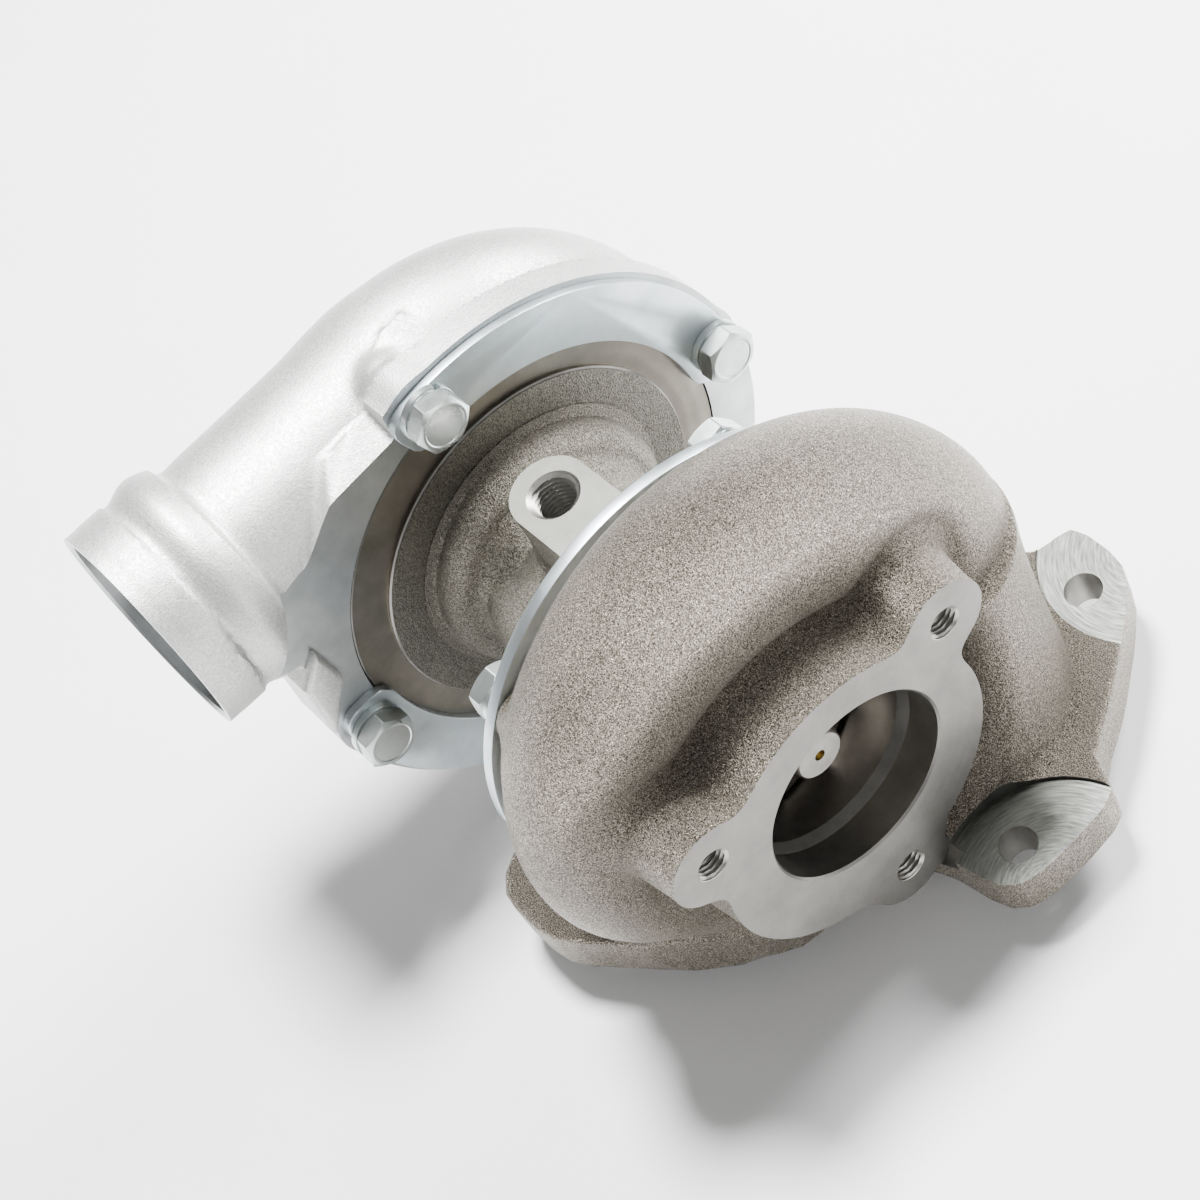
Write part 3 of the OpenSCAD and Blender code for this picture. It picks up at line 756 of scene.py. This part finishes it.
def inlet_places():
    c, s = math.cos(INLET_TURN), math.sin(INLET_TURN)
    for u, v in ((-1, 1), (1, 1), (-1, -1), (1, -1)):
        du, dv = u * INLET_LONG / 2, v * INLET_SHORT / 2
        yield INLET_CENTRE[0] + c * du - s * dv, INLET_CENTRE[1] + s * du + c * dv


def outlet_face_cutter():
    """A thin prism that leaves the outlet flange's face flat, a little wider than the flange."""
    turns = np.radians(np.arange(0, 360, 3))
    low, high = np.full(len(turns), 20.0), np.full(len(turns), 70.0)
    for _ in range(30):
        middle = (low + high) / 2
        out = outlet_outline(middle * np.cos(turns), middle * np.sin(turns)) > 1.2
        low, high = np.where(out, low, middle), np.where(out, middle, high)
    outline = list(zip(high * np.cos(turns), high * np.sin(turns)))
    return prism("face_cut", outline, 0.0, 5.0, IRON_FACE)


def make_turbine_housing():
    body = surface("turbine_housing_casting", turbine_cast, (-90, -74, -64), (29, 97, 78), CAST_STEP,
                   [IRON])
    shroud = [(0, -9.0), (22.7, -9.0), (22.7, -21), (23.3, -25), (25, -28.5), (27.4, -31), (44, -31),
              (44, -38.2), (35.3, -38.2), (35.3, -45.1), (37.2, -45.1), (37.2, -47), (44.05, -47),
              (44.05, -70), (0, -70)]
    tools = [revolve("shroud_cut", shroud, IRON_BORE, 160),
             revolve("outlet_cut", [(0, 3), (24, 3), (24, -9.6), (0, -9.6)], IRON_BORE, 160),
             revolve("step_cut", [(0, -9.6), (24.0, -9.6), (22.7, -12.3), (0, -12.3)], IRON_FACE, 160),
             revolve("lip_cut", [(0, 2), (26.5, 2), (24.0, -0.55), (0, -0.55)], IRON_FACE, 160),
             outlet_face_cutter(),
             box("base_cut", (-95, -90, -72), (40, 110, FACE_Z), IRON_FACE)]
    for i, (y, z) in enumerate(around(OUTLET_CLOCK, OUTLET_BOLT_R, 3)):
        tools.append(threaded_cutter(f"outlet_tap_{i}", (-13, y, z), (0, y, z), **M8_TAP))
    clamp_places = around(T_BOLT_CLOCK, T_BOLT_R)
    tools += drills("clamp_hole", BOLT_HOLE, clamp_places, -60, -45.2, IRON_BORE)
    tools += drills("clamp_face", 9.0, clamp_places, -62, T_CLAMP_X, IRON_FACE)
    for i, (x, y) in enumerate(inlet_places()):
        if i < 3:
            tools.append(cylinder(f"inlet_hole_{i}", 4.75, (x, y, -70), (x, y, -36), IRON_BORE, 64))
        else:
            tools.append(threaded_cutter("inlet_tap", (x, y, -50), (x, y, FACE_Z), **M8_TAP))
    x, y = list(inlet_places())[2]
    tools.append(cylinder("foot_face", 9, (x, y, FLANGE_TOP), (x, y, -36), IRON_FACE, 64))
    for i, (x, y, size) in enumerate(MILL_CIRCLES):
        tools.append(cylinder(f"spot_face_{i}", size, (x, y, FLANGE_TOP), (x, y, -36), MILL_MARKS[i], 192))
    boolean(body, tools)
    finish_piece(body, "turbine_housing")


# ---- compressor housing

C_START = 190.0
C_SPAN = 290.0
C_WALL = 4.0
COVER_FACE = -112.8
C_BOLT_R = 61.0
C_BOLT_CLOCK = 6.6
PLATE_T = 2.5
PIPE_TILT = math.radians(2.6)
PIPE_END = Vector((-137, -83.8, 42.8))
PIPE_AXIS = Vector((0, -math.cos(PIPE_TILT), math.sin(PIPE_TILT)))
COVER_BACK = -176.0


def pipe_point(distance):
    """A point on the compressor outlet's axis, so far in from its end."""
    return PIPE_END - PIPE_AXIS * distance


def compressor_tube(a):
    return 10.5 + 14 * (a / C_SPAN) ** 1.1


def compressor_outer(a):
    return 54 + 16.5 * (a / C_SPAN) ** 1.1 - 3.5 * np.clip((a - 235) / 55, 0, 1) ** 2


def compressor_scroll(x, y, z, shrink):
    angle = (np.degrees(np.arctan2(z, y)) + C_START) % 360
    return scroll_distance(x, y, z, angle, C_SPAN, compressor_outer, compressor_tube,
                           lambda rt: COVER_FACE - rt + 0.3, shrink)


def compressor_cast(x, y, z):
    radius = np.sqrt(y * y + z * z)
    duct = capsule(x, y, z, pipe_point(84), pipe_point(26), 24.4, 24.4)
    shoulder = capsule(x, y, z, (-137, -5, 42.4), pipe_point(34), 24.3, 24.4)
    facet = 0.445 * x - 0.0417 * y + 0.8947 * z - 2.55
    rim = np.maximum(radius - 68, slab(x, -121, COVER_FACE + 1))
    rim = np.maximum(rim, np.minimum(facet, -15.5 - y))
    back = np.maximum(radius - (46 - np.clip((-x - 124) / 26, 0, 1.2) * 13), slab(x, -156, -118))
    stub = np.maximum(radius - 30, slab(x, COVER_BACK - 1, -120))
    bosses = union(capsule(x, y, z, (-124, cy, cz), (-110, cy, cz), 7.4, 7.4)
                   for cy, cz in around(C_BOLT_CLOCK, C_BOLT_R))
    ridge = np.maximum(-35.5 - 1.922 * (x - COVER_FACE) - y, y - 6) / 2.17
    gusset = np.maximum(np.maximum(facet, slab(x, -131, COVER_FACE + 1)), np.maximum(ridge, 30 - z))
    px, py, pz = x - PIPE_END.x, y - PIPE_END.y, z - PIPE_END.z
    along = py * PIPE_AXIS.y + pz * PIPE_AXIS.z
    off = np.sqrt(np.maximum(px ** 2 + py ** 2 + pz ** 2 - along ** 2, 0))
    spigot = np.maximum(off - 28.0, slab(-along, -1.5, 10.5))
    bead = blend_cut(off - 29.2, slab(-along, 13.5, 24.0), 6.0)
    waist = np.maximum(off - 27.2, slab(-along, 5, 24))
    pipe = blend_all(spigot, (waist, 1.6), (bead, 2.5))
    body = blend_all(compressor_scroll(x, y, z, 0), (duct, 3.0), (shoulder, 3.0), (rim, 1.5), (back, 5.0),
                     (stub, 4.0), (bosses, 3.0), (gusset, 0.8), (pipe, 3.0))
    passage = capsule(x, y, z, pipe_point(88), pipe_point(22), 20.2, 20.4)
    hollow = blend_union(compressor_scroll(x, y, z, C_WALL), passage, 3.0)
    hollow = np.maximum(hollow, -np.maximum(radius - 44, slab(x, -126, -100)))
    hollow = np.maximum(np.maximum(hollow, x + 119.5), 29.5 - radius)
    return np.maximum(body, -hollow)


def block_boss():
    """The small square boss beside one clamp bolt, its edges rounded like the casting's."""
    block = prism("block_boss", [(-60.2, 27.5), (-67.9, 19), (-69, -1), (-58.5, 13.5)], -127, -110.4, ALLOY)
    bevel(block, 1.6, 4)
    return block


def make_compressor_housing():
    body = surface("compressor_housing_casting", compressor_cast, (-180, -90, -76), (-106, 76, 80),
                   CAST_STEP, [ALLOY])
    register = [(0, -105), (54.8, -105), (54.8, -118), (49.5, -118), (49.5, -124), (44, -124),
                (44, -122), (30.5, -122), (26.6, -123.1), (24.2, -126.3), (22.9, -131.2),
                (22.4, -136), (22.4, -148), (26.5, -160), (26.5, -174.5), (27.5, -180), (0, -180)]
    mouth = placed(PIPE_END, PIPE_AXIS)
    tools = [revolve("register_cut", register, ALLOY_FACE, 160),
             revolve("pipe_bore", [(0, -34), (20.4, -34), (20.8, -30), (25.8, -10), (25.8, -0.7),
                                   (26.6, 0.4), (26.6, 4), (0, 4)], ALLOY_FACE, 128, mouth),
             revolve("pipe_face", [(0, 0), (40, 0), (40, 8), (0, 8)], ALLOY_FACE, 96, mouth),
             revolve("rim_face", [(0, COVER_FACE), (75, COVER_FACE), (75, -100), (0, -100)], ALLOY_FACE, 96),
             revolve("stub_face", [(0, -190), (40, -190), (40, COVER_BACK), (0, COVER_BACK)], ALLOY_FACE)]
    tools += drills("cover_hole", BOLT_HOLE, around(C_BOLT_CLOCK, C_BOLT_R), -128, -100, ALLOY_FACE)
    boolean(body, tools)
    boolean(body, [block_boss()], "UNION")
    finish_piece(body, "compressor_housing")


# ---- bearing housing

OIL_X = -83.3
OIL_FACE = 41.6
DRAIN = (-83, 0)


def bearing_cast(x, y, z):
    radius = np.sqrt(y * y + z * z)
    waist = 24.5 + 1.7 * np.clip((-x - 99) / 3, 0, 1) - 3.5 * np.exp(-((x + 95.5) / 4.5) ** 2)
    body = np.maximum(radius - waist, slab(x, -117, -52))
    flare = np.maximum(radius - (26 + np.clip((x + 70) / 14, 0, 1) ** 1.6 * 14), slab(x, -72, -50))
    backplate = np.maximum(radius - 44.4, slab(x, -120, -111))
    ridge = disc(x, radius, (-107.8, 27), 5.4)
    boss = np.maximum(disc(np.maximum(OIL_X - 1.2 - x, 0), y, (0, 0), 9.8),
                      np.maximum(slab(z, 0, OIL_FACE + 1), x + 62))
    lug = capsule(x, y, z, (-92, -18, 6), (-72, -22, 10), 9.0, 8.0)
    drain = np.maximum(disc(x, y, DRAIN, 13.5), slab(z, -42, 0))
    feet = np.maximum(disc(x, np.maximum(np.abs(y) - 20, 0), DRAIN, 8.5), slab(z, -42, -33))
    body = blend_all(body, (flare, 4.0), (backplate, 2.0), (ridge, 1.5), (boss, 4.5), (lug, 6.0),
                     (drain, 5.0), (feet, 2.5))
    flange = np.maximum(radius - 44, slab(x, -55, -47.2))
    rim = np.maximum(radius - 54.5, slab(x, -118, COVER_FACE + 0.6))
    return union((body, flange, rim))


def make_bearing_housing():
    body = surface("bearing_housing_casting", bearing_cast, (-122, -60, -47), (-43, 60, 60),
                   CAST_STEP * 0.9, [DARK_IRON])
    annulus = [(44.4, -100), (60, -100), (60, COVER_FACE), (44.4, COVER_FACE)]
    chamfer = [(44, -110.6), (46, -110.6), (46, -112), (44.5, -112), (44, -111.6)]
    tools = [ring_cutter("web_cut", [(35, -100), (44.7, -100), (44.7, -111.3), (35, -111.3)], DARK_WEB),
             ring_cutter("annulus_cut", annulus, DARK_TURNED),
             ring_cutter("step_chamfer", chamfer, NOSE),
             ring_cutter("rim_cut", [(54.5, -100), (70, -100), (70, -125), (54.5, -125)], IRON_FACE),
             ring_cutter("rim_chamfer", [(53.4, -112), (57, -112), (57, -115.6)], IRON_FACE),
             revolve("rear_cut", [(0, -130), (70, -130), (70, -118), (0, -118)], IRON_FACE),
             revolve("bore_cut", [(0, -130), (24.05, -130), (24.05, -102.2), (17.45, -102.2),
                                  (17.45, -99.4), (11, -99.4), (11, -97), (7.04, -97), (7.04, -57.5),
                                  (15, -57.5), (15, -50.2), (8.55, -50.2), (8.55, -30), (0, -30)],
                     IRON_BORE),
             box("boss_face", (-110, -20, OIL_FACE), (-50, 20, OIL_FACE + 6), BOSS_FACE),
             threaded_cutter("oil_tap", (OIL_X, 0, 24), (OIL_X, 0, OIL_FACE), **M12_FINE_TAP),
             box("drain_face", (-110, -40, -50), (-60, 40, -42), IRON_FACE),
             cylinder("drain_hole", 8, (-83, 0, -60), (-83, 0, -16), IRON_BORE)]
    for side in (-1, 1):
        tools.append(threaded_cutter(f"drain_tap_{side + 1}", (-83, side * 20, -34), (-83, side * 20, -42),
                                     **M8_TAP))
    nose = revolve("nose", [(0, -41.6), (13, -41.6), (13, -49), (0, -49)], IRON_FACE)
    boolean(body, [nose], "UNION")
    boolean(body, tools)
    finish_piece(body, "bearing_housing")


# ---- clamp plates, bolts, washers

SHEET_CORNER = 6.0


def bend(start, corner, finish):
    """Points along a curve from start, towards the corner, to finish."""
    return [start * (1 - t) ** 2 + corner * 2 * t * (1 - t) + finish * t * t
            for t in (0.2, 0.4, 0.6, 0.8, 1.0)]


def sheet_sector(name, inner, outer, x0, x1, turn0, turn1):
    """A flat arc of sheet whose corners are rounded."""
    turns = np.radians(np.linspace(turn0, turn1, 90))
    arcs = []
    for radius, order in ((outer, turns), (inner, turns[::-1])):
        inset = SHEET_CORNER / radius
        kept = order[(order > turns[0] + inset) & (order < turns[-1] - inset)]
        arcs.append([Vector((radius * math.cos(t), radius * math.sin(t))) for t in kept])
    rim = []
    for here, after, near, far, turn in ((arcs[0], arcs[1], outer, inner, turns[-1]),
                                         (arcs[1], arcs[0], inner, outer, turns[0])):
        side = Vector((math.cos(turn), math.sin(turn)))
        step = math.copysign(SHEET_CORNER, far - near)
        rim += here + bend(here[-1], side * near, side * (near + step))
        rim += bend(side * (far - step), side * far, after[0])[:-1]
    return prism(name, rim, x0, x1, ZINC)


def make_clamp_plates(end, inner, outer, x0, x1, starts, spread, clock, bolt_r, hole_r):
    """Pressed sheet sectors with drilled holes and slightly rolled edges."""
    name = f"{end}_clamp_plate_pair"
    plate = join(name, [sheet_sector(name, inner, outer, x0, x1, start, start + spread) for start in starts])
    holes = drills(f"{name}_hole", hole_r, around(clock, bolt_r), x0 - 2, x1 + 2, ZINC)
    boolean(plate, holes, solver="EXACT")
    bevel(plate, 0.35, 3)
    finish_piece(plate, f"{end}_clamp_plates")


def join(name, parts):
    """Joins several mesh objects into the first one."""
    work = bmesh.new()
    for part in parts:
        work.from_mesh(part.data)
    mesh = parts[0].data
    work.to_mesh(mesh)
    work.free()
    for part in parts[1:]:
        bpy.data.objects.remove(part)
    parts[0].name = name
    return parts[0]


HEAD_H = 5.3
HEAD_FLAT = 6.5


def bolt_head():
    """One hexagon head with its chamfer, from just under x = 0 up."""
    corner = HEAD_FLAT / math.cos(math.pi / 6)
    lens = revolve("head_round", [(0, -0.1), (6.2, -0.1), (6.2, 0.35), (6.65, 0.5), (corner + 0.3, 1.0),
                                  (corner + 0.3, HEAD_H - 1.05), (6.15, HEAD_H - 0.12), (5.9, HEAD_H),
                                  (5.3, HEAD_H), (5.0, HEAD_H - 0.18), (0, HEAD_H - 0.18)], BOLT_ZINC, 96)
    outline = [(corner * math.cos(t), corner * math.sin(t)) for t in np.radians(np.arange(0, 360, 60))]
    hexagon = prism("head_hexagon", outline, -0.1, HEAD_H + 1, BOLT_ZINC)
    bevel(hexagon, 0.3, 3)
    boolean(lens, [hexagon], "INTERSECT", "EXACT")
    return lens


def make_bolts(end, places, length):
    """Four bolts in one object. Each place is (point under the head, direction, turn)."""
    parts = []
    for point, direction, turn in places:
        head = bolt_head()
        shank = revolve("shank", [(0, -length), (3.5, -length), (3.98, -length + 0.6), (3.98, 0.2), (0, 0.2)],
                        BOLT_ZINC, 48)
        place = placed(Vector(point) * MM, direction) @ Matrix.Rotation(math.radians(turn), 4, "X")
        for part in (head, shank):
            part.data.transform(place)
            parts.append(part)
    finish_piece(join(f"{end}_clamp_bolt_set", parts), f"{end}_clamp_bolts", angle=25)


SPRING = 2.0
WASHER_STEPS = 64
WASHER_OUTLINE = ((4.2, 0.15), (4.35, 0.0), (6.95, 0.0), (7.1, 0.15), (7.1, SPRING - 0.25),
                  (6.95, SPRING - 0.1), (4.35, SPRING - 0.1), (4.2, SPRING - 0.25))


def make_spring_washers(end, places):
    """Split spring washers: a flat bar wound one turn, its ends slightly apart."""
    name = f"{end}_spring_washer_set"
    parts = []
    for point, direction, turn in places:
        rows = []
        for t in np.arange(WASHER_STEPS + 1) / WASHER_STEPS:
            angle = math.radians(turn + 6 + 346 * t)
            rise = 0.25 * (t - 0.5)
            rows.append([(x + rise * 0.4 + 0.03, radius * math.cos(angle), radius * math.sin(angle))
                         for radius, x in WASHER_OUTLINE])
        part = loft(name, rows, BOLT_ZINC)
        part.data.transform(placed(Vector(point) * MM, direction))
        parts.append(part)
    finish_piece(join(name, parts), f"{end}_spring_washers", angle=30)


def make_fasteners():
    make_clamp_plates("turbine", 41, 57.5, T_CLAMP_X - 3, T_CLAMP_X, (7.5, 187.5), 175,
                      T_BOLT_CLOCK, T_BOLT_R, 4.3)
    make_clamp_plates("compressor", 51.6, 66.5, COVER_FACE, COVER_FACE + PLATE_T,
                      (C_BOLT_CLOCK - 8.6, C_BOLT_CLOCK + 171.4), 107.2, C_BOLT_CLOCK, C_BOLT_R, 4.2)
    ends = (("turbine", T_CLAMP_X - 3, -1, around(T_BOLT_CLOCK, T_BOLT_R), (25, 65, 105, 145), 14),
            ("compressor", COVER_FACE + PLATE_T, 1, around(C_BOLT_CLOCK, C_BOLT_R), (10, 48, 20, 35), 18))
    for end, x, facing, points, turns, _ in ends:
        make_spring_washers(end, [((x, *point), (facing, 0, 0), turn) for point, turn in zip(points, turns)])
    for end, x, facing, points, turns, length in ends:
        make_bolts(end, [((x + facing * SPRING, *point), (facing, 0, 0), turn)
                         for point, turn in zip(points, turns)], length)


# ---- wheels

def blade(hub, tip, wrap, thick, count, material, splitter=0.0):
    """Blades lofted between a hub curve and a tip curve, both lists of (radius, x)."""
    along, across = 25, 9
    hub_curve = resample(hub, along, splitter)
    tip_curve = resample(tip, along, splitter)
    span = np.linspace(0, 1, across)
    flow = np.linspace(splitter, 1, along)
    grid = hub_curve[:, None, :] * (1 - span)[None, :, None] + tip_curve[:, None, :] * span[None, :, None]
    angle = wrap(flow)[:, None]
    fade = np.sqrt(np.clip(np.minimum(flow - splitter, 1 - flow) * 12, 0.35, 1))[:, None]
    half = thick * (1 - 0.55 * span)[None, :] * fade / 2
    points = []
    for sign in (1, -1):
        turn = angle + sign * half / np.maximum(grid[..., 0], 1)
        points.append(on_axis(grid[..., 0] * np.cos(turn), grid[..., 0] * np.sin(turn), grid[..., 1]))
    points = np.concatenate([p.reshape(-1, 3) for p in points])
    front, behind = np.arange(len(points)).reshape(2, along, across)
    quads = [(side[:-1, :-1], side[1:, :-1], side[1:, 1:], side[:-1, 1:]) for side in (front, behind)]
    quads += [(front[:-1, j], behind[:-1, j], behind[1:, j], front[1:, j]) for j in (0, -1)]
    quads += [(front[i, :-1], front[i, 1:], behind[i, 1:], behind[i, :-1]) for i in (0, -1)]
    faces = [quad for four in quads for quad in np.stack(four, axis=-1).reshape(-1, 4).tolist()]
    parts = []
    for n in range(count):
        part = solid("blade", points, faces, material)
        part.data.transform(Matrix.Rotation(2 * math.pi * n / count, 4, "X"))
        parts.append(part)
    return parts


def resample(curve, count, start=0.0):
    """Even points along a smooth curve through (radius, x) pairs, from a fraction of its length."""
    pairs = np.array(curve, dtype=float)
    t = np.linspace(0, 1, len(pairs))
    fine = np.linspace(0, 1, 200)
    order = len(pairs) - 1
    smooth_points = np.stack([np.polyval(np.polyfit(t, pairs[:, n], order), fine) for n in range(2)], axis=-1)
    steps = np.r_[0, np.cumsum(np.hypot(*np.diff(smooth_points, axis=0).T))]
    wanted = np.linspace(start, 1, count) * steps[-1]
    return np.stack([np.interp(wanted, steps, smooth_points[:, n]) for n in range(2)], axis=-1)


def make_turbine_wheel():
    hub = revolve("turbine_wheel_smooth", [(0, -12.3), (5.8, -12.3), (6.3, -12.8), (6.6, -14), (7, -20),
                                           (8.5, -26), (12, -32), (18, -36), (24, -37.6), (25, -38.4),
                                           (9, -38.6), (9, -39.9), (0, -39.9)], WHEEL_ALLOY, 96)
    boolean(hub, [revolve("centre_hole", [(0, -15.4), (1.35, -13.4), (1.5, -10), (0, -10)], BRASS_TINT, 48),
                  revolve("nose_face", [(0, -12.35), (9, -12.35), (9, -10), (0, -10)], NOSE, 64)])
    blades = blade([(6.3, -20.4), (7.6, -26), (11.5, -32), (18, -36.4), (26.4, -38.2)],
                   [(22.2, -24.8), (22.5, -26), (23.6, -28.2), (25.2, -30), (26.9, -31.4)],
                   lambda m: np.radians(-46 * (1 - m) ** 1.9), 1.9, 11, WHEEL_ALLOY)
    wheel = join("turbine_wheel_smooth", [hub] + blades)
    finish_piece(wheel, "turbine_wheel", ROTOR, 35)


def make_compressor_wheel():
    hub = ring_cutter("compressor_wheel_smooth",
                      [(3.05, -118.5), (29.9, -118.5), (29.9, -119.2), (26, -120), (20, -121.6), (15, -124.6),
                       (11.5, -129.5), (9.4, -135), (8.3, -141), (7.9, -145.7), (3.05, -145.7)],
                      COMPRESSOR_ALLOY, 128)
    hub_line = [(7.8, -142.6), (9, -136), (11.5, -129), (17, -123), (29, -119.2)]
    tip_line = [(21.9, -142.8), (22, -135.5), (23, -129), (25.5, -124.2), (29.9, -121.8)]

    def wrap(m):
        return np.radians(62 * (1 - m) ** 1.7 - 28 * m ** 2)

    full = blade(hub_line, tip_line, wrap, 1.1, 6, COMPRESSOR_ALLOY)
    split = blade(hub_line, tip_line, wrap, 1.1, 6, COMPRESSOR_ALLOY, 0.3)
    for part in split:
        part.data.transform(Matrix.Rotation(math.radians(30), 4, "X"))
    wheel = join("compressor_wheel_smooth", [hub] + full + split)
    finish_piece(wheel, "compressor_wheel", ROTOR, 35)


# ---- the CAD pieces that stay

INNER_FINISH = {
    "heat_shield": SHEET_STEEL, "bearing_retaining_rings": STEEL, "turbine_bush": BRONZE,
    "compressor_bush": BRONZE, "thrust_bearing": BRONZE, "thrust_bearing_pins": STEEL,
    "oil_deflector": SHEET_STEEL, "seal_plate": IRON_FACE, "seal_plate_o_ring": RUBBER,
    "seal_plate_snap_ring": STEEL, "turbine_seal_ring": STEEL, "compressor_seal_ring": STEEL,
    "rotor_shaft": STEEL, "thrust_collar": STEEL, "flinger_sleeve": STEEL, "compressor_nut": BOLT_ZINC,
    "housing_o_ring": RUBBER,
}


def finish_inner_pieces():
    """Gives the CAD pieces that stay their materials; their meshes are left as they are."""
    for node, material in INNER_FINISH.items():
        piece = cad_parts[node]
        piece.data.materials.clear()
        piece.data.materials.append(material)
        for slot in piece.material_slots:
            slot.material = material


def make_floor():
    """A wide pale floor at the height of the object's lowest point."""
    level = CAD_BOUNDS[0][2] / MM
    size = 3000.0
    s = Shader("floor_paint", 0.0)
    paint = s.finish(s.ramp(s.noise(60, 2.0), (0.3, (0.86, 0.86, 0.865)), (0.7, (0.88, 0.88, 0.88))), 0.9)
    corners = [(-size, -size, level), (size, -size, level), (size, size, level), (-size, size, level)]
    floor = new_object("floor", corners, [(0, 1, 2, 3)], [paint])


make_camera()
make_lights()
make_floor()
make_turbine_housing()
make_compressor_housing()
make_bearing_housing()
make_fasteners()
make_turbine_wheel()
make_compressor_wheel()
finish_inner_pieces()
